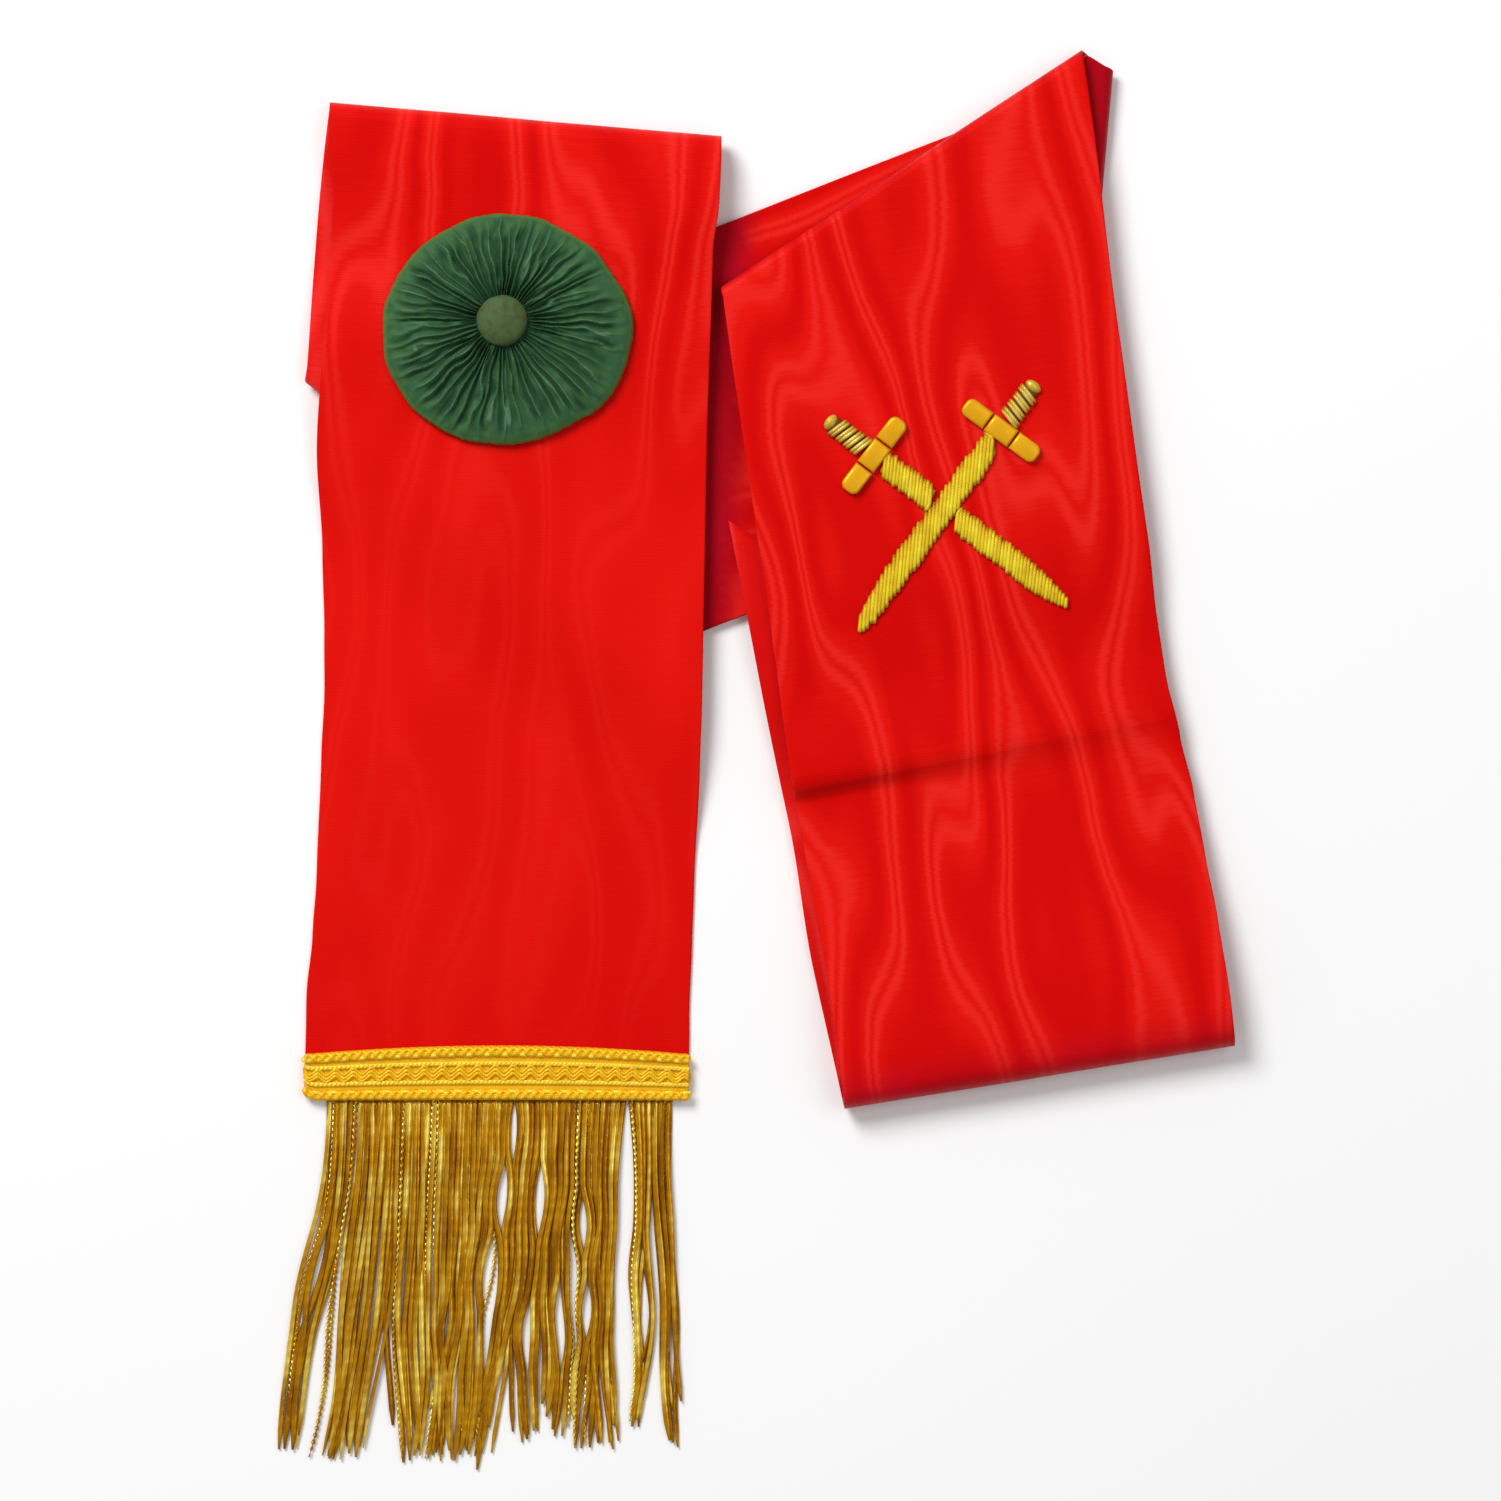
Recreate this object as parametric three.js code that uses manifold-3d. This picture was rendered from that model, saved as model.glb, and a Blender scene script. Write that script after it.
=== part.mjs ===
// Sash of an order, laid folded on a table.
// A moire ribbon is doubled into a loop of two strands with one tail. The loop is folded five times, a
// gathered rosette covers the place where the strands meet, two embroidered swords cross on the breast,
// and a braid and a bullion fringe finish the tail.
// Millimetres, +Z up, the table at z = 0. +Y runs up the tail, away from the fringe.

import * as THREE from 'three';
import { mergeVertices } from 'three/addons/utils/BufferGeometryUtils.js';
import Module from 'manifold-3d';

const wasm = await Module();
wasm.setup();

// Cloth and the clearances between its layers
const ribbonWidth = 100;
const ply = 1.0;            // wall of one strand
const plyGap = 0.4;         // between the two strands
const layerGap = 0.4;       // between one doubled layer and the next
const seatGap = 0.35;       // between a sewn-on piece and the cloth under it

// Lengths and folds of the ribbon
const tailLength = 200;     // from the cut end under the braid up to the rosette's button
const topFoldRadius = 3;    // round fold at the head of the tail
const bottomFoldRadius = 4; // round fold at the foot of the breast panel
const crestHeight = 2.4;    // the crease that stands across the breast panel

// Rosette
const rosetteReach = 31.2;  // mean reach of the ruffle from its button
const rosetteAside = 4.8;   // how far the button sits from the middle of the ribbon
const ruffleHeight = 3.6;
const pleatCount = 30;
const pleatDepth = 0.9;
const buttonRadius = 6.5;
const buttonHeight = 3.4;
const buttonSides = 16;

// Swords
const swordLength = 78;
const bladeWidth = 5.6;
const bladeHeight = 1.3;
const bladeTipWidth = 1.6;
const guardLength = 23.5;
const guardWidth = 5.2;
const guardHeight = 1.7;
const gripWidth = 4.2;
const gripHeight = 1.5;
const gripCoils = 6;
const stitchGap = 0.4;      // between neighbouring pieces of the embroidery
const crossGap = 1.0;       // between the upper blade and the one that passes under it

// Braid and fringe
const braidOverhang = 0.4;  // past each edge of the ribbon
const braidDrop = 2;        // past the cut end of the ribbon
const braidDepth = 14;
const braidHeight = 1.9;
const braidRows = 3;
const braidBow = 1.6;       // how much lower its upper edge runs at the sides than in the middle
const braidScallop = 0.5;
const fringeInset = 5.5;    // from each edge of the ribbon to the fringe
const fringeLength = 94;    // the longest lock, from the braid
const fringeHeight = 2.8;
const fringeHead = 5;       // depth of the woven head that carries the locks
const lockWidth = 8.6;
const lockRoot = 1.4;       // from the cut end of the ribbon to where the locks start in the head
const lockWave = 1.5;       // how far a lock swings to either side on its way down

// Mesh fineness: the longest step along the ribbon, cells across it and steps round each fold
const sectionStep = 8.5;
const cellsAcross = 5;
const bendSteps = 6;

const halfWidth = ribbonWidth / 2;
const braidWidth = ribbonWidth + 2 * braidOverhang;
const fringeWidth = ribbonWidth - 2 * fringeInset;
const strandOffset = (ply + plyGap) / 2;
const layerHeight = 2 * ply + plyGap;
const layerStep = layerHeight + layerGap;
const tableLevel = layerHeight / 2;
const flatFoldRadius = layerStep / 2;

// The runs of the ribbon, from the fringe to the shoulder seam. length is in ribbon widths, up to the
// line where the next fold starts. foldAngle is that line's direction in plan, in degrees. drift is how
// far the ribbon has wandered sideways there, in ribbon widths.
const runs = [
  { length: 0.481 + tailLength / ribbonWidth, foldAngle: -5.0, foldRadius: topFoldRadius, drift: 0.018 },
  { length: 1.052, foldAngle: -38.8, foldRadius: flatFoldRadius, drift: -0.045 },
  { length: 1.721, foldAngle: 84.9, foldRadius: flatFoldRadius, drift: -0.028 },
  { length: 0.556, foldAngle: 33.25, foldRadius: flatFoldRadius, drift: -0.018 },
  { length: 2.345, foldAngle: 9.2, foldRadius: bottomFoldRadius, drift: 0.018 },
  { length: 1.185, foldAngle: -30.6, foldRadius: 0, drift: -0.004 },
];
const [tail, turn, crossing, corner, breast, under] = [0, 1, 2, 3, 4, 5];
const tailHeading = 88.35;

// How far layers take to settle, in ribbon widths
const settle = {
  overEdge: 0.30,      // a layer that comes down off the crossing band's edge
  overTurn: 0.34,      // the tail as it comes down off the hidden turn
  underEdge: 0.46,     // the hidden end of the loop as it climbs onto the crossing band
  breastEdge: 0.50,    // the breast panel as it comes down off the crossing band
  topPuff: 0.42,       // the swell behind the round top fold
  bottomPuff: 0.72,    // the swell behind the round bottom fold
  singlePly: 0.30,     // where the tail becomes a single strand
};

// The crease across the breast panel: its distance before the bottom fold, its direction in degrees, and
// the lengths of its slow upper side and its quick lower side, in ribbon widths
const crest = { reach: 0.80, angle: 10.7, upper: 0.26, lower: 0.13 };

const degrees = THREE.MathUtils.degToRad;
const mix = THREE.MathUtils.lerp;
const smooth = (value) => THREE.MathUtils.smoothstep(value, 0, 1);
const direction = (angle) => new THREE.Vector2(Math.cos(degrees(angle)), Math.sin(degrees(angle)));
const squareTo = (vector) => new THREE.Vector2(-vector.y, vector.x);

// Plan of the folded ribbon: each run gets its own frame, which is the frame before it mirrored in the
// fold line and carried on by the length that the bend takes up.
function layOutRuns() {
  const frames = [];
  let origin = new THREE.Vector2(0, 0);
  let heading = tailHeading;
  let start = 0;
  runs.forEach((run, index) => {
    const along = direction(heading);
    const across = squareTo(along).multiplyScalar(index % 2 === 0 ? 1 : -1);
    const length = run.length * ribbonWidth;
    const foldPoint = origin.clone().addScaledVector(along, length);
    const onward = squareTo(direction(run.foldAngle));
    if (onward.dot(along) < 0) onward.negate();
    const radius = run.foldRadius;
    const end = start + length;
    const slope = -across.dot(onward) / along.dot(onward);
    const advance = 1 / along.dot(onward);
    frames.push({ origin, along, across, start, end, foldPoint, onward, radius, slope, advance });
    origin = foldPoint.clone().addScaledVector(onward, Math.PI * radius);
    heading = 2 * run.foldAngle - heading;
    start = end;
  });
  return frames;
}
const frames = layOutRuns();

function driftAt(along) {
  const index = Math.max(frames.findIndex((frame) => along <= frame.end), 0);
  const frame = along > frames[under].end ? frames[under] : frames[index];
  const before = frame === frames[tail] ? 0 : runs[frames.indexOf(frame) - 1].drift;
  const after = runs[frames.indexOf(frame)].drift;
  const share = smooth((along - frame.start) / (frame.end - frame.start));
  return mix(before, after, share) * ribbonWidth;
}

function planInRun(index, along, across) {
  const frame = frames[index];
  return frame.origin.clone()
    .addScaledVector(frame.along, along - frame.start)
    .addScaledVector(frame.across, across + driftAt(along));
}

// Distance of a plan point past the fold line of a run
const pastFold = (index, point) => point.clone().sub(frames[index].foldPoint).dot(frames[index].onward);

// Distance of a plan point inside the crossing band, from its upper edge or its lower edge
function insideCrossing(point, edge) {
  const frame = frames[crossing];
  const middle = (runs[turn].drift + runs[crossing].drift) / 2 * ribbonWidth;
  const across = point.clone().sub(frame.origin).dot(frame.across) - middle;
  return halfWidth - edge * across;
}
const upperEdge = 1;
const lowerEdge = -1;

// 1 where the crossing band lies underneath, falling to 0 over the given reach outside its edge
const overCrossing = (point, edge, reach) => smooth(insideCrossing(point, edge) / (reach * ribbonWidth) + 1);

// 1 at a fold line, falling to 0 over the given reach before it
const nearFold = (index, point, reach) => smooth(1 + pastFold(index, point) / (reach * ribbonWidth));

function crestAt(point) {
  const frame = frames[breast];
  const onward = squareTo(direction(crest.angle)).negate();
  const place = frame.foldPoint.clone().addScaledVector(frame.along, -crest.reach * ribbonWidth);
  const past = point.clone().sub(place).dot(onward) / ribbonWidth;
  if (past < 0) return crestHeight * smooth(1 + past / crest.upper);
  return crestHeight * Math.max(1 - past / crest.lower, 0) ** 2;
}

// Height of the middle of the doubled ribbon, for each run at a plan point
const levels = [
  (point, along) => {
    const clear = flatFoldRadius + tableLevel + seatGap;
    const onTurn = 1 - smooth((pastFold(turn, point) - clear) / (settle.overTurn * ribbonWidth));
    const onCrossing = onTurn * overCrossing(point, upperEdge, settle.overEdge);
    const puff = (2 * topFoldRadius - layerStep) * nearFold(tail, point, settle.topPuff);
    const single = smooth((tailLength - along) / (settle.singlePly * ribbonWidth));
    return tableLevel + layerStep * (onTurn + onCrossing) + puff - (ply + plyGap) * single;
  },
  (point) => tableLevel + layerStep * overCrossing(point, upperEdge, settle.overEdge),
  () => tableLevel,
  () => tableLevel + layerStep,
  (point) => {
    const onCrossing = overCrossing(point, lowerEdge, settle.breastEdge);
    const puff = (2 * bottomFoldRadius - layerStep) * nearFold(breast, point, settle.bottomPuff);
    return tableLevel + layerStep * (1 + onCrossing) + puff + crestAt(point);
  },
  (point) => tableLevel + layerStep * overCrossing(point, lowerEdge, settle.underEdge),
];

// The folded middle surface: a point of the flat ribbon, along and across, carried to its place in space
function foldedPoint(along, across) {
  for (let index = 0; index < frames.length; index += 1) {
    const frame = frames[index];
    const point = planInRun(index, along, across);
    const past = pastFold(index, point);
    if (past <= 0 || index === frames.length - 1) {
      return new THREE.Vector3(point.x, point.y, levels[index](point, along));
    }
    if (past < Math.PI * frame.radius) {
      const foot = point.clone().addScaledVector(frame.onward, -past);
      const turned = past / frame.radius;
      const share = (1 - Math.cos(turned)) / 2;
      const height = mix(levels[index](foot, along), levels[index + 1](foot, along), share);
      foot.addScaledVector(frame.onward, frame.radius * Math.sin(turned));
      return new THREE.Vector3(foot.x, foot.y, height);
    }
  }
  return undefined;
}

function foldedNormal(along, across) {
  const probe = 0.05;
  const lengthwise = foldedPoint(along + probe, across).sub(foldedPoint(along - probe, across));
  const crosswise = foldedPoint(along, across + probe).sub(foldedPoint(along, across - probe));
  return lengthwise.cross(crosswise).normalize();
}

// Top of the cloth under a sewn-on piece, on the tail or on the breast panel
function clothTop(index, point, along) {
  return levels[index](point, along) + tableLevel;
}

// Stations of the ribbon: lines across it that its sections keep to, each with its place on the middle
// line and its slope, which follows the fold there
function stationsFrom(start) {
  const breastFrame = frames[breast];
  const crestLine = direction(crest.angle);
  const crestSlope = crestLine.dot(breastFrame.along) / crestLine.dot(breastFrame.across);
  const crestPlace = breastFrame.end - crest.reach * ribbonWidth;
  const stations = [
    { place: 0, slope: 0, steps: 0 },
    { place: tailLength, slope: 0, steps: 0 },
  ];
  frames.forEach((frame, index) => {
    if (index === breast) {
      stations.push({ place: crestPlace, slope: crestSlope, steps: 0 });
      stations.push({ place: crestPlace + crest.lower * ribbonWidth, slope: crestSlope, steps: 3 });
    }
    const place = frame.end + frame.slope * runs[index].drift * ribbonWidth;
    const bend = Math.PI * frame.radius * frame.advance;
    stations.push({ place, slope: frame.slope, steps: 0 });
    if (bend > 0) stations.push({ place: place + bend, slope: frame.slope, steps: bendSteps });
  });
  return stations.filter((station) => station.place >= start);
}

function sectionsFrom(start) {
  const stations = stationsFrom(start);
  const sections = [stations[0]];
  for (let index = 1; index < stations.length; index += 1) {
    const before = stations[index - 1];
    const after = stations[index];
    const steps = after.steps || Math.ceil((after.place - before.place) / sectionStep);
    for (let step = 1; step <= steps; step += 1) {
      const share = step / steps;
      const place = mix(before.place, after.place, share);
      sections.push({ place, slope: mix(before.slope, after.slope, share) });
    }
  }
  return sections;
}

// A box of the given cells with only its positions, so that it stays one closed skin when it is bent
function plainBox(length, width, height, cellsLong, cellsWide) {
  const box = new THREE.BoxGeometry(length, width, height, cellsLong, cellsWide, 1);
  box.deleteAttribute('normal');
  box.deleteAttribute('uv');
  return mergeVertices(box, 1e-4);
}

function bend(geometry, move) {
  const positions = geometry.attributes.position;
  const vertex = new THREE.Vector3();
  for (let index = 0; index < positions.count; index += 1) {
    const moved = move(vertex.fromBufferAttribute(positions, index));
    positions.setXYZ(index, moved.x, moved.y, moved.z);
  }
  return geometry;
}

// One strand of the ribbon: a flat strip of sections, carried through the folds on its own side
function strand(start, side) {
  const sections = sectionsFrom(start);
  const last = sections.length - 1;
  return bend(plainBox(last, ribbonWidth, ply, last, cellsAcross), (vertex) => {
    const section = sections[Math.round(vertex.x + last / 2)];
    const along = section.place + section.slope * vertex.y;
    const offset = side * strandOffset + vertex.z;
    return foldedPoint(along, vertex.y).addScaledVector(foldedNormal(along, vertex.y), offset);
  });
}

// Rosette: reach of the ruffle in even steps round the button, from the right and against the clock,
// in shares of its mean reach
const ruffleOutline = [1.08, 0.97, 0.90, 0.88, 0.88, 0.92, 0.98, 1.02, 1.03, 1.02, 1.02, 1.09];

// Section of the ruffle from the middle of its underside to the middle of its top: radius in shares of
// the reach, height and pleat depth in shares of their full values
const ruffleSection = [
  { radius: 0.00, height: 0.00, pleat: 0.0 },
  { radius: 0.50, height: 0.00, pleat: 0.0 },
  { radius: 0.95, height: 0.00, pleat: 0.0 },
  { radius: 1.00, height: 0.38, pleat: 0.0 },
  { radius: 0.95, height: 0.78, pleat: 0.2 },
  { radius: 0.74, height: 1.00, pleat: 0.6 },
  { radius: 0.48, height: 0.92, pleat: 1.0 },
  { radius: 0.28, height: 0.62, pleat: 0.9 },
  { radius: 0.22, height: 0.45, pleat: 0.0 },
  { radius: 0.00, height: 0.45, pleat: 0.0 },
];

function reachTowards(angle) {
  const place = angle / (2 * Math.PI) * ruffleOutline.length;
  const index = Math.floor(place);
  const before = ruffleOutline[index % ruffleOutline.length];
  const after = ruffleOutline[(index + 1) % ruffleOutline.length];
  return rosetteReach * mix(before, after, smooth(place - index));
}

const rosettePlace = planInRun(tail, tailLength, 0)
  .addScaledVector(frames[tail].across, rosetteAside - driftAt(tailLength));

// Top of the tail under a point beside the rosette's button, given along and across the tail
function tailTop(point) {
  const along = point.clone().sub(frames[tail].origin).dot(frames[tail].along);
  return clothTop(tail, point, along);
}

function ruffle() {
  const rings = ruffleSection.length - 1;
  const points = ruffleSection.map((row, ring) => new THREE.Vector2(row.radius, ring));
  const lathe = new THREE.LatheGeometry(points, pleatCount * 4);
  lathe.deleteAttribute('normal');
  lathe.deleteAttribute('uv');
  const skin = mergeVertices(lathe, 1e-4);
  return bend(skin, (vertex) => {
    const row = ruffleSection[Math.min(Math.round(vertex.y), rings)];
    const angle = (Math.atan2(-vertex.z, vertex.x) + 2 * Math.PI) % (2 * Math.PI);
    const reach = row.radius * reachTowards(angle);
    const point = rosettePlace.clone()
      .addScaledVector(frames[tail].across, -reach * Math.cos(angle))
      .addScaledVector(frames[tail].along, reach * Math.sin(angle));
    const pleat = pleatDepth * row.pleat * Math.cos(angle * pleatCount) / 2;
    return new THREE.Vector3(point.x, point.y, tailTop(point) + seatGap + ruffleHeight * row.height + pleat);
  });
}

function button() {
  const seat = tailTop(rosettePlace) + seatGap + ruffleHeight * ruffleSection.at(-1).height + seatGap;
  const profile = [new THREE.Vector2(0, 0), new THREE.Vector2(buttonRadius * 0.85, 0)];
  const steps = 5;
  const rimShare = 0.3;
  for (let step = 0; step < steps; step += 1) {
    const turned = step / steps * Math.PI / 2;
    const height = buttonHeight * mix(rimShare, 1, Math.sin(turned));
    profile.push(new THREE.Vector2(buttonRadius * Math.cos(turned), height));
  }
  profile.push(new THREE.Vector2(0, buttonHeight));
  const dome = new THREE.LatheGeometry(profile, buttonSides);
  dome.deleteAttribute('normal');
  dome.deleteAttribute('uv');
  const turnedUp = mergeVertices(dome, 1e-4).rotateX(Math.PI / 2);
  return turnedUp.translate(rosettePlace.x, rosettePlace.y, seat);
}

// Swords: crossing is the place where they cross, along the breast panel, and aside its distance from the
// panel's middle, both in ribbon widths. The upper sword is set back from it by overSlide of its length.
// Places along a sword run towards its point.
const swordPlan = { crossing: 0.914, aside: -0.021, overTurn: -43.6, underTurn: 45.1, overSlide: -0.03 };
const tipPlace = swordLength * 0.513;
const guardPlace = -swordLength * 0.289;
const pommelPlace = -swordLength * 0.487;
const bladeStart = guardPlace + guardWidth / 2 + stitchGap;
const gripEnd = guardPlace - guardWidth / 2 - stitchGap;
const underBreak = bladeWidth / 2 + crossGap;
const bladeTaper = 0.2;     // share of the blade's length over which it narrows to its point

function swordFrame(turnAngle, slide) {
  const frame = frames[breast];
  const crossPlace = frame.start + swordPlan.crossing * ribbonWidth;
  const heading = frame.along.clone().rotateAround(new THREE.Vector2(), degrees(turnAngle));
  const centre = planInRun(breast, crossPlace, swordPlan.aside * ribbonWidth)
    .addScaledVector(heading, slide * swordLength);
  return { centre, heading, side: squareTo(heading) };
}

// A padded strip of embroidery on the breast panel. It runs from one place to another in its frame,
// halfWidthAt gives its outline and heightAt its crown, both at a share of its length.
function paddedStrip({ frame, from, to, steps, halfWidthAt, heightAt }) {
  const edgeShare = 0.4;
  return bend(plainBox(steps, 2, 1, steps, 2), (vertex) => {
    const share = vertex.x / steps + 0.5;
    const point = frame.centre.clone()
      .addScaledVector(frame.heading, mix(from, to, share))
      .addScaledVector(frame.side, vertex.y * halfWidthAt(share));
    const crown = vertex.y === 0 ? 1 : edgeShare;
    const lift = vertex.z > 0 ? heightAt(share) * crown : 0;
    return new THREE.Vector3(point.x, point.y, clothTop(breast, point) + seatGap + lift);
  });
}

function bladeStretch(frame, from, to, steps) {
  const taperStart = mix(tipPlace, bladeStart, bladeTaper);
  const widthAt = (share) => {
    const place = mix(from, to, share);
    const narrowed = THREE.MathUtils.clamp((place - taperStart) / (tipPlace - taperStart), 0, 1);
    return mix(bladeWidth, bladeTipWidth, narrowed ** 1.5) / 2;
  };
  const crownAt = (share) => bladeHeight * (0.45 + 0.55 * widthAt(share) / (bladeWidth / 2));
  return paddedStrip({ frame, from, to, steps, halfWidthAt: widthAt, heightAt: crownAt });
}

function swordGuard(frame) {
  const across = {
    centre: frame.centre.clone().addScaledVector(frame.heading, guardPlace),
    heading: frame.side,
    side: frame.heading.clone().negate(),
  };
  const lobes = 3;
  const swell = (share) => Math.abs(Math.sin(Math.PI * lobes * share));
  return paddedStrip({
    frame: across,
    from: -guardLength / 2,
    to: guardLength / 2,
    steps: lobes * 4,
    halfWidthAt: (share) => guardWidth / 2 * (0.72 + 0.28 * swell(share)),
    heightAt: (share) => guardHeight * (0.7 + 0.3 * swell(share)),
  });
}

function swordGrip(frame) {
  const pommelShare = 0.14;
  const swell = (share) => Math.abs(Math.sin(Math.PI * gripCoils * share));
  const ending = (share) => (share < pommelShare ? 0.7 + 0.3 * share / pommelShare : 1);
  return paddedStrip({
    frame,
    from: pommelPlace,
    to: gripEnd,
    steps: gripCoils * 3,
    halfWidthAt: (share) => gripWidth / 2 * (0.85 + 0.15 * swell(share)) * ending(share),
    heightAt: (share) => gripHeight * (0.65 + 0.35 * swell(share)) * ending(share),
  });
}

// A plan point given to the right of the tail's middle line and down from its cut end
function tailPlan(right, down) {
  return frames[tail].origin.clone()
    .addScaledVector(frames[tail].across, -right)
    .addScaledVector(frames[tail].along, -down);
}

// Braid: cord rows with a scalloped upper edge, lying on the cut end of the tail
const braidCells = 16;
function braid() {
  const rowCells = braidRows * 2;
  const cornerCut = 0.12;
  return bend(plainBox(braidCells, rowCells, 1, braidCells, rowCells), (vertex) => {
    const cell = Math.round(vertex.x + braidCells / 2);
    const row = Math.round(vertex.y + rowCells / 2);
    const share = cell / braidCells * 2 - 1;
    const up = row / rowCells;
    const scallop = row === rowCells ? braidScallop * (cell % 2) : 0;
    const rounded = cell === 0 && row === 0 ? cornerCut * braidDepth : 0;
    const along = braidDepth * up - braidDrop + scallop + rounded - braidBow * share * share * up;
    const point = tailPlan(share * braidWidth / 2, -along);
    const ridge = row % 2 === 1 ? 1 : 0.55;
    const lift = vertex.z > 0 ? braidHeight * ridge : 0;
    return new THREE.Vector3(point.x, point.y, clothTop(tail, point, 0) + seatGap + lift);
  });
}

// Fringe: a row for each lock, from the left. at is its place across the head, in shares of the head's
// width; reach and spread are its length and how far its tip swings to the right, in shares of the
// longest lock; wide is its width against the usual lock.
const locks = [
  { at: 0.045, reach: 0.96, spread: -0.13, wide: 0.9 },
  { at: 0.11, reach: 0.98, spread: -0.08, wide: 1.0 },
  { at: 0.18, reach: 0.98, spread: -0.055, wide: 1.0 },
  { at: 0.25, reach: 0.99, spread: 0.0, wide: 1.1 },
  { at: 0.325, reach: 0.97, spread: 0.0, wide: 1.0 },
  { at: 0.40, reach: 0.98, spread: -0.015, wide: 1.0 },
  { at: 0.475, reach: 1.00, spread: -0.04, wide: 0.9 },
  { at: 0.55, reach: 0.96, spread: -0.055, wide: 0.9 },
  { at: 0.62, reach: 0.92, spread: -0.02, wide: 1.0 },
  { at: 0.69, reach: 0.90, spread: -0.02, wide: 0.9 },
  { at: 0.76, reach: 0.93, spread: 0.01, wide: 0.9 },
  { at: 0.825, reach: 0.93, spread: 0.01, wide: 0.8 },
  { at: 0.915, reach: 0.87, spread: 0.015, wide: 0.6 },
  { at: 0.965, reach: 0.92, spread: 0.07, wide: 0.6 },
];
const lockSteps = 6;
const headHeight = ply;

function lock(row, index) {
  return bend(plainBox(lockSteps, 2, 1, lockSteps, 2), (vertex) => {
    const share = vertex.x / lockSteps + 0.5;
    const narrowed = 1 - 0.5 * share ** 3;
    const swing = row.spread * fringeLength * share ** 1.4;
    const ripple = lockWave * Math.sin(2 * Math.PI * (1.4 * share + 0.37 * index)) * share;
    const centre = (row.at - 0.5) * fringeWidth + swing + ripple;
    const right = centre + vertex.y * row.wide * lockWidth / 2 * narrowed;
    const down = mix(lockRoot, braidDrop + row.reach * fringeLength, share);
    const point = tailPlan(right, down);
    const full = mix(headHeight, fringeHeight, smooth(share * 5 - 0.5)) * (1 - 0.45 * share);
    const crown = vertex.y === 0 ? 1 : 0.55;
    return new THREE.Vector3(point.x, point.y, vertex.z > 0 ? full * crown : 0);
  });
}

function fringeHeadBar() {
  return bend(plainBox(2, 2, 1, 2, 1), (vertex) => {
    const down = stitchGap + (vertex.y < 0 ? fringeHead : 0);
    const point = tailPlan(vertex.x * fringeWidth / 2, down);
    return new THREE.Vector3(point.x, point.y, vertex.z > 0 ? headHeight : 0);
  });
}

function toSolid(geometry) {
  return new wasm.Manifold(new wasm.Mesh({
    numProp: 3,
    vertProperties: new Float32Array(geometry.attributes.position.array),
    triVerts: new Uint32Array(geometry.index.array),
  }));
}

function toGeometry(solid) {
  const mesh = solid.getMesh();
  const geometry = new THREE.BufferGeometry();
  geometry.setAttribute('position', new THREE.BufferAttribute(mesh.vertProperties, 3));
  geometry.setIndex(new THREE.BufferAttribute(mesh.triVerts, 1));
  return geometry;
}

function fringe() {
  return toGeometry(locks.map(lock).map(toSolid).reduce((whole, piece) => whole.add(piece),
    toSolid(fringeHeadBar())));
}

// Materials
const cloth = (color, roughness) => new THREE.MeshStandardMaterial({ color, roughness, metalness: 0 });
const gold = (color, roughness) => new THREE.MeshStandardMaterial({ color, roughness, metalness: 0.6 });
const scarletMoire = cloth(0xd81a14, 0.55);
const scarletInner = cloth(0xc8201c, 0.6);
const greenRibbon = cloth(0x2b4a2c, 0.6);
const greenButton = cloth(0x42502a, 0.65);
const satinGold = gold(0xdcc82c, 0.45);
const plateGold = gold(0xdfa715, 0.4);
const braidGold = gold(0xe0a619, 0.45);
const bullionGold = gold(0x9b6309, 0.4);

const overFrame = swordFrame(swordPlan.overTurn, swordPlan.overSlide);
const underFrame = swordFrame(swordPlan.underTurn, 0);
const pieces = [
  ['front_band', strand(0, 1), scarletMoire],
  ['back_band', strand(tailLength, -1), scarletInner],
  ['rosette_ruffle', ruffle(), greenRibbon],
  ['rosette_button', button(), greenButton],
  ['over_sword_blade', bladeStretch(overFrame, bladeStart, tipPlace, 14), satinGold],
  ['over_sword_guard', swordGuard(overFrame), plateGold],
  ['over_sword_grip', swordGrip(overFrame), plateGold],
  ['under_sword_blade', bladeStretch(underFrame, bladeStart, -underBreak, 5), satinGold],
  ['under_sword_point', bladeStretch(underFrame, underBreak, tipPlace, 9), satinGold],
  ['under_sword_guard', swordGuard(underFrame), plateGold],
  ['under_sword_grip', swordGrip(underFrame), plateGold],
  ['fringe_braid', braid(), braidGold],
  ['fringe', fringe(), bullionGold],
];

const sash = new THREE.Group();
for (const [name, geometry, material] of pieces) {
  const mesh = new THREE.Mesh(geometry, material);
  mesh.name = name;
  sash.add(mesh);
}

// The origin goes to the middle of the part's outline, on the table
const outline = new THREE.Box3().setFromObject(sash);
const middle = outline.getCenter(new THREE.Vector3());
sash.position.set(-middle.x, -middle.y, -outline.min.z);

export default sash;
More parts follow.
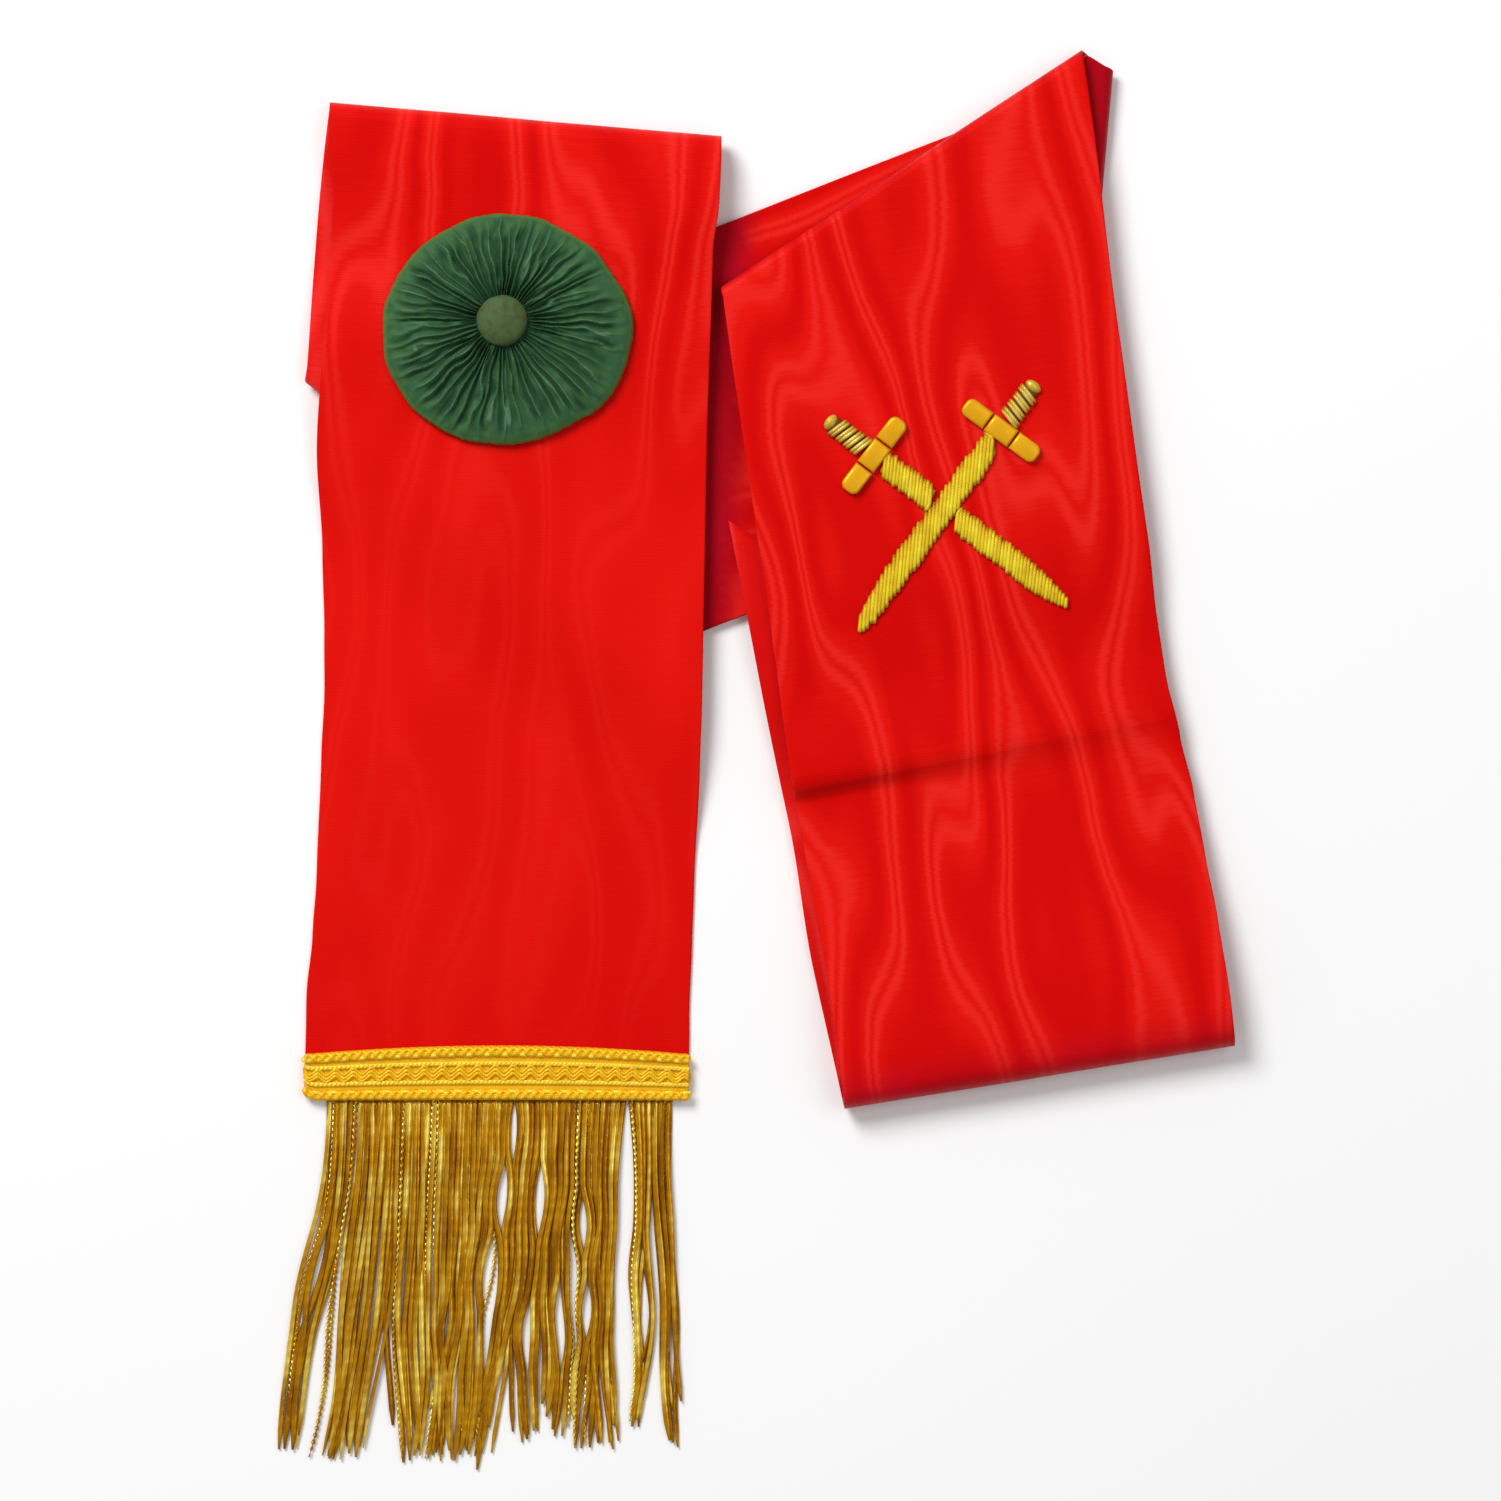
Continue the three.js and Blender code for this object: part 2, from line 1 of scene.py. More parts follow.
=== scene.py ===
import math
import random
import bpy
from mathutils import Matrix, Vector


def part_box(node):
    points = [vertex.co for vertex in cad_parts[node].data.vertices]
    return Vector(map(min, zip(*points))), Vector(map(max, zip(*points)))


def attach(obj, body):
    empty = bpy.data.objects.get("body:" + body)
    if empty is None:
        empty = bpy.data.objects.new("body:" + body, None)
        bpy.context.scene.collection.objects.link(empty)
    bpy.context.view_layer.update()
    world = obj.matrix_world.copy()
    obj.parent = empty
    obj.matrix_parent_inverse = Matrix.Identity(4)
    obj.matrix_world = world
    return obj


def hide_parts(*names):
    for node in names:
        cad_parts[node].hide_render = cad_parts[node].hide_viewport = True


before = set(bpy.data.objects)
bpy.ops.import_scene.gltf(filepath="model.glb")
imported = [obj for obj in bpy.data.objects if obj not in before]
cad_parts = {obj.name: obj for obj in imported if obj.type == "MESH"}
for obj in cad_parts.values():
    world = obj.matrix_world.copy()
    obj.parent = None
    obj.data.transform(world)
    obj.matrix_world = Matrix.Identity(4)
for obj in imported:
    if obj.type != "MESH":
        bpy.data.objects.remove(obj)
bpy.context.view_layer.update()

# %% [markdown]
# A sash of an order is a broad watered-silk ribbon that is worn over one shoulder. This one lies folded on
# a table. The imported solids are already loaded: they say where every layer lies. Each cell below makes one
# piece of the sash over its solid, and its finish comes from nodes. Blender works in metres, so small
# sizes are written in millimetres times MM.

# %% Units and the sash's own sizes
from types import SimpleNamespace

import bmesh
import bpy
from mathutils import Vector, noise

MM = 0.001
RIBBON_WIDTH = 100 * MM
HALF_WIDTH = RIBBON_WIDTH / 2
PLY = 1.0 * MM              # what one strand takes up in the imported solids
PLY_GAP = 0.4 * MM          # between the two strands of the doubled ribbon
LAYER_GAP = 0.4 * MM        # between two layers of it
SEAT_GAP = 0.35 * MM        # under every sewn-on piece
SILK = 0.7 * MM             # wall of one strand as it is shown
STRAND_OFFSET = (PLY + PLY_GAP) / 2
LAYER_STEP = 2 * PLY + PLY_GAP + LAYER_GAP
TABLE_LEVEL = (2 * PLY + PLY_GAP) / 2       # middle of the doubled ribbon where it lies on the table
TAIL_LENGTH = 200 * MM      # from the cut end up to the rosette's button
print("solids in the frame:", len(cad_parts))

# %% [markdown]
# The ribbon is doubled, and the doubled ribbon is folded five times. A flat ribbon can only fold along
# straight lines, so the whole plan follows from six runs: how long each one is, and at what angle the fold
# after it lies. Each fold mirrors the run before it. A cloth simulation could crumple a ribbon too, but it
# would not come to rest in these exact folds, so the folds are worked out instead.

# %% Runs of the ribbon and the lines that it is folded on
TAIL, TURN, CROSSING, CORNER, BREAST, UNDER = range(6)
FLAT_FOLD = LAYER_STEP / 2
TOP_FOLD = 3.0 * MM
BOTTOM_FOLD = 4.0 * MM
TAIL_HEADING = 88.35        # degrees, the way that the tail runs up from its cut end

RUNS = [
    # length and drift in ribbon widths, fold_angle in degrees
    SimpleNamespace(length=0.481 + TAIL_LENGTH / RIBBON_WIDTH, fold_angle=-5.0, radius=TOP_FOLD, drift=0.018),
    SimpleNamespace(length=1.052, fold_angle=-38.8, radius=FLAT_FOLD, drift=-0.045),
    SimpleNamespace(length=1.721, fold_angle=84.9, radius=FLAT_FOLD, drift=-0.028),
    SimpleNamespace(length=0.556, fold_angle=33.25, radius=FLAT_FOLD, drift=-0.018),
    SimpleNamespace(length=2.345, fold_angle=9.2, radius=BOTTOM_FOLD, drift=0.018),
    SimpleNamespace(length=1.185, fold_angle=-30.6, radius=0.0, drift=-0.004),
]


def direction(angle):
    return Vector((math.cos(math.radians(angle)), math.sin(math.radians(angle))))


def square_to(vector):
    return Vector((-vector.y, vector.x))


def mix(first, second, share):
    return first + (second - first) * share


def smooth(value):
    value = min(max(value, 0.0), 1.0)
    return value * value * (3 - 2 * value)


def lay_out_runs():
    """Gives every run its place: where it starts, which way it goes and where its fold line lies."""
    origin, heading, start = Vector((0.0, 0.0)), TAIL_HEADING, 0.0
    for index, run in enumerate(RUNS):
        run.origin, run.start = origin, start
        run.along = direction(heading)
        run.across = square_to(run.along) * (1 if index % 2 == 0 else -1)
        run.end = start + run.length * RIBBON_WIDTH
        run.fold_point = origin + run.along * (run.end - start)
        run.onward = square_to(direction(run.fold_angle))
        if run.onward.dot(run.along) < 0:
            run.onward.negate()
        run.slope = -run.across.dot(run.onward) / run.along.dot(run.onward)
        run.bend = math.pi * run.radius / run.along.dot(run.onward)
        run.drift_before = RUNS[index - 1].drift if index else 0.0
        origin = run.fold_point + run.onward * math.pi * run.radius
        heading = 2 * run.fold_angle - heading
        start = run.end
    return start


ribbon_length = lay_out_runs()
print(f"ribbon, flat: {RIBBON_WIDTH:.3f} m by {ribbon_length:.3f} m in {len(RUNS)} runs")

# %% [markdown]
# Next comes the height of each layer. Silk is limp: where a layer passes over another one's edge it comes
# down again within a few centimetres, and it swells behind the two round folds. Each rule is a smooth step
# between 0 and 1, so that the cloth never gets a kink that the real one doesn't have. The one sharp thing
# is the pressed crease across the breast panel.

# %% Heights of the layers
OVER_EDGE, OVER_TURN, UNDER_EDGE, BREAST_EDGE = 0.30, 0.34, 0.46, 0.50    # reaches in ribbon widths
TOP_PUFF, BOTTOM_PUFF, SINGLE_PLY = 0.42, 0.72, 0.30
CREST = SimpleNamespace(reach=0.80, angle=10.7, upper=0.26, left_drop=0.045, right_drop=0.10,
                        left_height=3.4 * MM, right_height=1.3 * MM)
UPPER_SIDE, LOWER_SIDE = 1, -1


def drift_at(along):
    run = next((run for run in RUNS if along <= run.end), RUNS[UNDER])
    share = smooth((along - run.start) / (run.end - run.start))
    return mix(run.drift_before, run.drift, share) * RIBBON_WIDTH


def plan_in_run(run, along, across):
    return run.origin + run.along * (along - run.start) + run.across * (across + drift_at(along))


def past_fold(run, point):
    return (point - run.fold_point).dot(run.onward)


def near_fold(run, point, reach):
    return smooth(1 + past_fold(run, point) / (reach * RIBBON_WIDTH))


def over_crossing(point, side, reach):
    band = RUNS[CROSSING]
    middle = (band.drift_before + band.drift) / 2 * RIBBON_WIDTH
    inside = HALF_WIDTH - side * ((point - band.origin).dot(band.across) - middle)
    return smooth(inside / (reach * RIBBON_WIDTH) + 1)


def crest_at(point):
    run = RUNS[BREAST]
    line = direction(CREST.angle)
    place = point - run.fold_point + run.along * CREST.reach * RIBBON_WIDTH
    past = -place.dot(square_to(line)) / RIBBON_WIDTH
    side = smooth(place.dot(line) / RIBBON_WIDTH + 0.5)
    height = mix(CREST.left_height, CREST.right_height, side)
    if past < 0:
        return height * smooth(1 + past / CREST.upper)
    return height * max(1 - past / mix(CREST.left_drop, CREST.right_drop, side), 0.0) ** 2


def level(index, point, along):
    """Height of the middle of the doubled ribbon in one run, over a point of the plan."""
    if index == TAIL:
        clear = FLAT_FOLD + TABLE_LEVEL + SEAT_GAP
        on_turn = 1 - smooth((past_fold(RUNS[TURN], point) - clear) / (OVER_TURN * RIBBON_WIDTH))
        on_crossing = on_turn * over_crossing(point, UPPER_SIDE, OVER_EDGE)
        puff = (2 * TOP_FOLD - LAYER_STEP) * near_fold(RUNS[TAIL], point, TOP_PUFF)
        single = smooth((TAIL_LENGTH - along) / (SINGLE_PLY * RIBBON_WIDTH))
        return TABLE_LEVEL + LAYER_STEP * (on_turn + on_crossing) + puff - (PLY + PLY_GAP) * single
    if index == TURN:
        return TABLE_LEVEL + LAYER_STEP * over_crossing(point, UPPER_SIDE, OVER_EDGE)
    if index == CROSSING:
        return TABLE_LEVEL
    if index == CORNER:
        return TABLE_LEVEL + LAYER_STEP
    if index == BREAST:
        puff = (2 * BOTTOM_FOLD - LAYER_STEP) * near_fold(RUNS[BREAST], point, BOTTOM_PUFF)
        on_crossing = over_crossing(point, LOWER_SIDE, BREAST_EDGE)
        return TABLE_LEVEL + LAYER_STEP * (1 + on_crossing) + puff + crest_at(point)
    return TABLE_LEVEL + LAYER_STEP * over_crossing(point, LOWER_SIDE, UNDER_EDGE)


def find_run(along, across):
    """Which run a point of the flat ribbon lies in, where that is in its plan, and how far it is past the
    run's fold line. Only a point in the fold itself is past the line."""
    for index, run in enumerate(RUNS):
        point = plan_in_run(run, along, across)
        past = past_fold(run, point)
        if past < math.pi * run.radius or past <= 0 or index == UNDER:
            return index, point, past


def folded_point(along, across):
    """A point of the flat ribbon, carried through the folds to where it lies on the table."""
    index, point, past = find_run(along, across)
    if past <= 0 or index == UNDER:
        return Vector((point.x, point.y, level(index, point, along)))
    run = RUNS[index]
    foot = point - run.onward * past
    turned = past / run.radius
    share = (1 - math.cos(turned)) / 2
    height = mix(level(index, foot, along), level(index + 1, foot, along), share)
    foot += run.onward * run.radius * math.sin(turned)
    return Vector((foot.x, foot.y, height))


def folded_normal(along, across):
    probe = 0.05 * MM
    lengthwise = folded_point(along + probe, across) - folded_point(along - probe, across)
    crosswise = folded_point(along, across + probe) - folded_point(along, across - probe)
    return lengthwise.cross(crosswise).normalized()


print("a corner of the shoulder end lies at", folded_point(ribbon_length, HALF_WIDTH))

# %% [markdown]
# A ribbon is a sheet, so each strand starts as one flat grid. Its rows are set closer together round the
# folds, and they lean with the fold line, because a row that runs square across would cut a slanting fold
# into steps. The two outermost columns are narrow, which makes the woven edge look rounded once the wall
# gets its thickness.

# %% Rows of the grid
ROW_STEP = 3.0 * MM
COLUMNS = 34
SELVEDGE = 0.5 * MM
FOLD_ROWS = 12
CREST_ROWS = 14
CUT_PLACE = 1.2 * MM        # the tail is cut off level with the table's edge, a little aslant to the ribbon
CUT_SLOPE = math.tan(math.radians(90 - TAIL_HEADING))


def rows_from(start):
    """Places along the ribbon for the rows of its grid, each with the slope of its row."""
    breast = RUNS[BREAST]
    crest_line = direction(CREST.angle)
    crest_slope = crest_line.dot(breast.along) / crest_line.dot(breast.across)
    crest_place = breast.end - CREST.reach * RIBBON_WIDTH
    stations = [(CUT_PLACE, -CUT_SLOPE, 0), (TAIL_LENGTH, 0.0, 0)]
    for index, run in enumerate(RUNS):
        if index == BREAST:
            stations.append((crest_place, crest_slope, 0))
            stations.append((crest_place + CREST.right_drop * RIBBON_WIDTH, crest_slope, CREST_ROWS))
        place = run.end + run.slope * run.drift * RIBBON_WIDTH
        stations.append((place, run.slope, 0))
        if run.radius > 0:
            stations.append((place + run.bend, run.slope, FOLD_ROWS))
    stations = [station for station in stations if station[0] >= start]
    rows = [stations[0][:2]]
    for before, after in zip(stations, stations[1:]):
        steps = after[2] or math.ceil((after[0] - before[0]) / ROW_STEP)
        for step in range(1, steps + 1):
            share = step / steps
            rows.append((mix(before[0], after[0], share), mix(before[1], after[1], share)))
    return rows


front_rows, back_rows = rows_from(CUT_PLACE), rows_from(TAIL_LENGTH)
print("rows in the front and back strands:", len(front_rows), len(back_rows))

# %% [markdown]
# One helper makes most of the meshes here. It adds a grid with a bmesh operator and lets a function move
# every vertex, and it keeps the vertex's place on the flat grid as its texture coordinate, in metres. That
# is how a pattern follows the silk through its folds. A second helper turns the finished bmesh into an
# object that sits at the origin.

# %% Helpers for grids and objects
FLAT = "flat place"         # the name of the stored texture coordinate
TONE = "tone"               # the name of the stored brightness of a thread, 0 to 1
WELD = 0.0005 * MM          # vertices nearer than this become one


def add_grid(bm, cells_round, cells_long, place, size, tone=None):
    """Adds a grid of cells to bm. place gives each vertex its point from its two shares, 0 to 1."""
    tones = bm.verts.layers.float.get(TONE) or bm.verts.layers.float.new(TONE)
    uv = bm.loops.layers.uv.get(FLAT) or bm.loops.layers.uv.new(FLAT)
    corners = bmesh.ops.create_grid(bm, x_segments=cells_round, y_segments=cells_long, size=0.5)["verts"]
    shares = {corner: (corner.co.x + 0.5, corner.co.y + 0.5) for corner in corners}
    faces = {face for corner in corners for face in corner.link_faces}
    for face in faces:
        for loop in face.loops:
            across, along = shares[loop.vert]
            loop[uv].uv = (across * size[0], along * size[1])
    for corner, (across, along) in shares.items():
        corner.co = place(across, along)
        corner[tones] = tone(along) if tone else 0.0


def new_object(name, data):
    made = bpy.data.objects.new(name, data)
    bpy.context.scene.collection.objects.link(made)
    return made


def finish_piece(bm, name, closed=True, sharp_angle=180):
    """Welds the seams, turns the faces outwards and makes the object."""
    bmesh.ops.remove_doubles(bm, verts=bm.verts, dist=WELD)
    if closed:
        bmesh.ops.recalc_face_normals(bm, faces=bm.faces)
    mesh = bpy.data.meshes.new(name)
    bm.to_mesh(mesh)
    bm.free()
    mesh.shade_smooth()
    mesh.set_sharp_from_angle(angle=math.radians(sharp_angle))
    print(f"{name}: {len(mesh.polygons)} faces")
    return new_object(name, mesh)


print("helpers ready")

# %% [markdown]
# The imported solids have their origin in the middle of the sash, and the fold rules start at the tail's cut
# end. The edges of the front strand's outer face are folded first. The distance from their farthest right
# and upper points to those of the strand's solid is the shift for everything else.

# %% Where the tail's cut end lies in the frame
def strand_point(along, across, side, extra=0.0):
    offset = side * STRAND_OFFSET + extra
    return folded_point(along, across) + folded_normal(along, across) * offset


def outer_points():
    """Points on the outer face of the front strand's edges."""
    for place, slope in front_rows:
        for across in (-HALF_WIDTH, HALF_WIDTH):
            yield strand_point(place + slope * across, across, 1, PLY / 2)


farthest = list(outer_points())
_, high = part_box("front_band")
SHIFT = Vector((high.x - max(point.x for point in farthest),
                high.y - max(point.y for point in farthest), 0.0))
print(f"the cut end lies at {SHIFT.x / MM:.2f}, {SHIFT.y / MM:.2f} mm")

# %% [markdown]
# A soft ribbon never has ruler-straight edges. As hands laid it, its edges are eased aside here and there:
# by up to 2.6 mm on the tail, the first turn and the breast panel, and by up to 4.5 mm where the lower edge
# of the crossing shows between the panels. A table says by how much. Both strands also share one field of
# soft noise, a tenth of a millimetre high, so that they stay apart while the light plays over them.

# %% Eased edges and softness
EASED_EDGES = [
    # place along in ribbon widths, then how far the + edge and the - edge are moved across, in millimetres
    (0.15, 0.3, 1.5), (0.25, 0.4, 1.7), (0.41, -0.8, 1.4), (0.56, -1.5, 1.2), (0.87, -2.1, 0.2),
    (1.03, -2.6, 0.0), (1.18, -2.3, 0.0), (1.39, -1.5, 0.0), (1.67, 0.2, 0.0), (2.19, -2.3, -0.5),
    (2.32, -2.6, -1.8), (2.42, -1.0, -2.0), (3.10, 0.0, 0.0), (3.60, 0.0, 0.0), (4.05, 0.0, 4.5),
    (4.36, 0.0, 3.6), (4.85, 0.0, 0.0), (5.81, 0.0, 0.0), (6.31, -0.8, -0.3),
    (6.86, -1.3, -0.5), (7.07, -2.1, -0.8), (7.22, -2.1, -1.2), (7.38, -0.8, -1.3), (7.53, 0.5, -0.8),
    (7.69, 1.0, -0.3), (7.85, 1.8, 0.5), (8.05, 2.2, 0.5), (8.60, 0.0, 0.0), (9.00, 0.0, 2.0),
    (9.60, 0.0, 2.0),
]
BROAD_SOFTNESS = SimpleNamespace(height=0.14 * MM, wide=0.032, long=0.055, seed=3.7)
FINE_SOFTNESS = SimpleNamespace(height=0.04 * MM, wide=0.012, long=0.026, seed=9.1)


def eased(along, across):
    """Where a point across the ribbon really lies, once its edges are eased."""
    place = along / RIBBON_WIDTH
    before, after = EASED_EDGES[0], EASED_EDGES[0]
    for row in EASED_EDGES:
        before, after = after, row
        if row[0] > place:
            break
    span = after[0] - before[0]
    share = smooth((place - before[0]) / span) if span > 0 else 1.0
    upper, lower = mix(before[1], after[1], share), mix(before[2], after[2], share)
    return across + mix(lower, upper, across / RIBBON_WIDTH + 0.5) * MM


def softness(along, across):
    return sum(soft.height * noise.noise(Vector((across / soft.wide, along / soft.long, soft.seed)))
               for soft in (BROAD_SOFTNESS, FINE_SOFTNESS))


moved = eased(TAIL_LENGTH / 2, HALF_WIDTH) - HALF_WIDTH
print(f"half way up the tail an edge moves by {moved / MM:.1f} mm")

# %% [markdown]
# The scarlet silk is painted a deep crimson where another layer shades it: beside the tail, on the fold
# behind the breast panel and under the round fold at the bottom. This crimson is painted shade. Each vertex
# stores how much, and the silk's nodes read it.

# %% The two strands of the ribbon
SHADE = "shade"
SHADED_STRIP = 5.0 * MM     # fully shaded next to the tail, and fading over a little more than that
SHADE_FADE = 7.0 * MM
FOLD_SHADE = 0.85           # on the round fold at the bottom
FOLD_REACH = 8.0 * MM       # how far above that fold its shade starts


# Painted shade: how deep a crimson the silk is painted where another layer shades it, from 0 to 1.
def shade_at(along, across):
    index, point, past = find_run(along, across)
    if index == CROSSING and past <= 0:
        beside_tail = -(point - RUNS[TAIL].origin).dot(RUNS[TAIL].across) - HALF_WIDTH
        return 1 - smooth((beside_tail - SHADED_STRIP) / SHADE_FADE)
    if index == CORNER:
        return 1 - smooth(past / RUNS[CORNER].bend)
    if index == BREAST:
        return FOLD_SHADE * smooth((past + FOLD_REACH) / (FOLD_REACH + 2 * BOTTOM_FOLD))
    return 1.0 if index == CROSSING else 0.0


def column_place(share):
    """Place across the ribbon for a share of the columns, with a narrow column along each edge."""
    column = round(share * COLUMNS)
    if column in (0, COLUMNS):
        return HALF_WIDTH if column == 0 else -HALF_WIDTH
    return mix(HALF_WIDTH - SELVEDGE, SELVEDGE - HALF_WIDTH, (column - 1) / (COLUMNS - 2))


def make_strand(name, rows, side):
    bm = bmesh.new()
    bm.verts.layers.float.new(SHADE)
    last = len(rows) - 1

    def flat_place(share_across, share_along):
        row, slope = rows[round(share_along * last)]
        across = column_place(share_across)
        return row + slope * across, across

    def place(share_across, share_along):
        along, across = flat_place(share_across, share_along)
        return strand_point(along, eased(along, across), side, softness(along, across)) + SHIFT

    add_grid(bm, COLUMNS, last, place, (1.0, 1.0))
    shade = bm.verts.layers.float.get(SHADE)
    uv = bm.loops.layers.uv.get(FLAT)
    for face in bm.faces:
        for loop in face.loops:
            along, across = flat_place(*loop[uv].uv)
            loop[uv].uv = (across, along)
            loop.vert[shade] = shade_at(along, across)
    strand = finish_piece(bm, name, closed=False)
    wall = strand.modifiers.new("silk wall", "SOLIDIFY")
    wall.thickness = SILK
    wall.offset = 0.0
    wall.use_rim = True
    return strand


front_ribbon = make_strand("front_ribbon", front_rows, 1)
back_ribbon = make_strand("back_ribbon", back_rows, -1)

# %% [markdown]
# Sewn-on pieces need to know how high the silk lies under them. The front strand is on top both on the
# tail and on the breast panel, so its outer face is half a layer above the level of the doubled ribbon.

# %% The silk under a sewn-on piece
def silk_top(index, point):
    along = (point - RUNS[index].origin).dot(RUNS[index].along) + RUNS[index].start
    return level(index, point, along) + TABLE_LEVEL


def on_silk(index, point, lift):
    """A point of the plan, lifted over the silk and moved into the frame."""
    return Vector((point.x, point.y, silk_top(index, point) + SEAT_GAP + lift)) + SHIFT


def tail_plan(right, down):
    """A plan point to the right of the tail's middle line and down from its cut end."""
    tail = RUNS[TAIL]
    return tail.origin - tail.across * right - tail.along * down


print(f"silk over the crossing at {silk_top(TAIL, tail_plan(0, -TAIL_LENGTH)) / MM:.2f} mm")

# %% [markdown]
# The rosette is a green ribbon drawn up on a thread: one edge is gathered under the button, and the other
# opens into a smooth rim. Gathered silk can be simulated, but here every pleat is seen from straight above,
# so it is made as a maker would draw it. A section is spun round the button, and then each vertex is moved:
# out to an uneven outline, and up and down for pleats that wander to the side as real ones do.

# %% Section of the rosette, spun round its button
ROSETTE_REACH = 31.2 * MM
ROSETTE_HEIGHT = 3.6 * MM
ROSETTE_ASIDE = 4.8 * MM
PLEATS = 54
PLEAT_CELLS = 10
PLEATS_START, PLEATS_END = 0.16, 0.91       # in shares of the radius
PLEAT_HEIGHT, SOFT_HEIGHT = 0.27 * ROSETTE_HEIGHT, 0.09 * ROSETTE_HEIGHT
ROSETTE_OUTLINE = [1.08, 0.97, 0.90, 0.88, 0.88, 0.92, 0.98, 1.02, 1.03, 1.02, 1.02, 1.09]
ROSETTE_SECTION = [(0.00, 0.00), (0.50, 0.00), (0.94, 0.02), (0.99, 0.16), (1.00, 0.34), (0.985, 0.56),
                   (0.95, 0.74), (0.86, 0.92), (0.74, 1.00), (0.60, 0.98), (0.46, 0.90), (0.34, 0.76),
                   (0.25, 0.56), (0.18, 0.42), (0.00, 0.42)]     # radius and height in shares
SECTION_STEP = 0.035
SECTION_WELD = 0.0001       # in shares, as the section is


def fine_section():
    """The section with more points, so that the pleats have enough vertices to bend."""
    points = [ROSETTE_SECTION[0]]
    for (radius, height), (next_radius, next_height) in zip(ROSETTE_SECTION, ROSETTE_SECTION[1:]):
        on_top = height > 0.5 or next_height > 0.5
        distance = math.hypot(next_radius - radius, (next_height - height) * 0.1)
        steps = max(1, math.ceil(distance / SECTION_STEP)) if on_top else 1
        for step in range(1, steps + 1):
            points.append((mix(radius, next_radius, step / steps), mix(height, next_height, step / steps)))
    return points


def spun(section, steps):
    """A bmesh of a section, which is given by radius and height, spun once round the upright axis."""
    bm = bmesh.new()
    corners = [bm.verts.new((radius, 0.0, height)) for radius, height in section]
    edges = [bm.edges.new(pair) for pair in zip(corners, corners[1:])]
    bmesh.ops.spin(bm, geom=corners + edges, cent=(0, 0, 0), axis=(0, 0, 1), dvec=(0, 0, 0),
                   angle=math.tau, steps=steps, use_merge=True, use_duplicate=False)
    bmesh.ops.remove_doubles(bm, verts=bm.verts, dist=SECTION_WELD)
    return bm


rosette_mesh = spun(fine_section(), PLEATS * PLEAT_CELLS)
print("rosette section spun:", len(rosette_mesh.verts), "vertices")

# %% Pleats of the rosette
rosette_centre = plan_in_run(RUNS[TAIL], TAIL_LENGTH, 0.0) + RUNS[TAIL].across * (
    ROSETTE_ASIDE - drift_at(TAIL_LENGTH))


def outline_at(angle):
    place = (angle % math.tau) / math.tau * len(ROSETTE_OUTLINE)
    index = int(place) % len(ROSETTE_OUTLINE)
    following = (index + 1) % len(ROSETTE_OUTLINE)
    return ROSETTE_REACH * mix(ROSETTE_OUTLINE[index], ROSETTE_OUTLINE[following], smooth(place - int(place)))


def round_noise(angle, frequency, seed):
    """Noise that meets itself again after a full turn."""
    return noise.noise(Vector((math.cos(angle) * frequency, math.sin(angle) * frequency, seed)))


def pleat_at(angle, reach):
    """Height of a pleat, -1 to 1, and how deep the pleats are there, from 0 up. Ridges are narrow."""
    wander = 0.080 * round_noise(angle, 4.0, reach * 4)
    wander += 0.030 * round_noise(angle, 12.0, reach * 8 + 7)
    wander += 0.060 * round_noise(angle, 10.0, 3.0)
    ending = PLEATS_END + 0.13 * round_noise(angle, 9.0, 2.0)
    depth = smooth((reach - PLEATS_START) / 0.10) * (1 - smooth((reach - ending + 0.12) / 0.20))
    uneven = 0.85 + 0.7 * round_noise(angle, 16.0, 5.0)
    return 1 - 2 * abs(math.sin((angle + wander) * PLEATS / 2)) ** 0.8, depth * uneven


def shape_rosette(bm):
    pleat_layer = bm.verts.layers.float.new("pleat")
    reach_layer = bm.verts.layers.float.new("reach")
    across, along = RUNS[TAIL].across, RUNS[TAIL].along
    for corner in bm.verts:
        angle = math.atan2(corner.co.y, corner.co.x)
        reach, height = math.hypot(corner.co.x, corner.co.y), corner.co.z
        wave, depth = pleat_at(angle, reach)
        top = smooth((height - 0.35) / 0.2)
        rim_wave = 0.012 * round_noise(angle, 5.0, 8.0) + 0.006 * round_noise(angle, 22.0, 4.0)
        spread = reach * outline_at(angle) * (1 + rim_wave * smooth((reach - 0.8) / 0.2))
        pleat = PLEAT_HEIGHT * wave * depth * top * (1.15 - 0.4 * reach)
        soft = SOFT_HEIGHT * round_noise(angle, 3.0 + 6 * reach, 1.0) * top
        point = rosette_centre - across * spread * math.cos(angle) + along * spread * math.sin(angle)
        corner[pleat_layer] = 0.5 + 0.5 * wave * min(depth, 1.0)
        corner[reach_layer] = reach
        corner.co = on_silk(TAIL, point, ROSETTE_HEIGHT * height + pleat + soft)
    return bm


rosette = finish_piece(shape_rosette(rosette_mesh), "rosette_gathers")

# %% [markdown]
# The button is a domed mould under a scrap of the same ribbon. Its section is spun as well, and a little
# noise keeps the cloth from looking turned on a lathe. It sits on the gathers.

# %% Covered button
BUTTON_RADIUS = 6.5 * MM
BUTTON_HEIGHT = 3.4 * MM
BUTTON_STEPS, BUTTON_CELLS = 9, 48
BUTTON_SEAT = ROSETTE_HEIGHT * ROSETTE_SECTION[-1][1] + SEAT_GAP
BUTTON_FOOT = [(0.0, 0.0), (0.85, 0.0), (0.96, 0.10)]     # radius and height in shares
DOME_START = 0.26


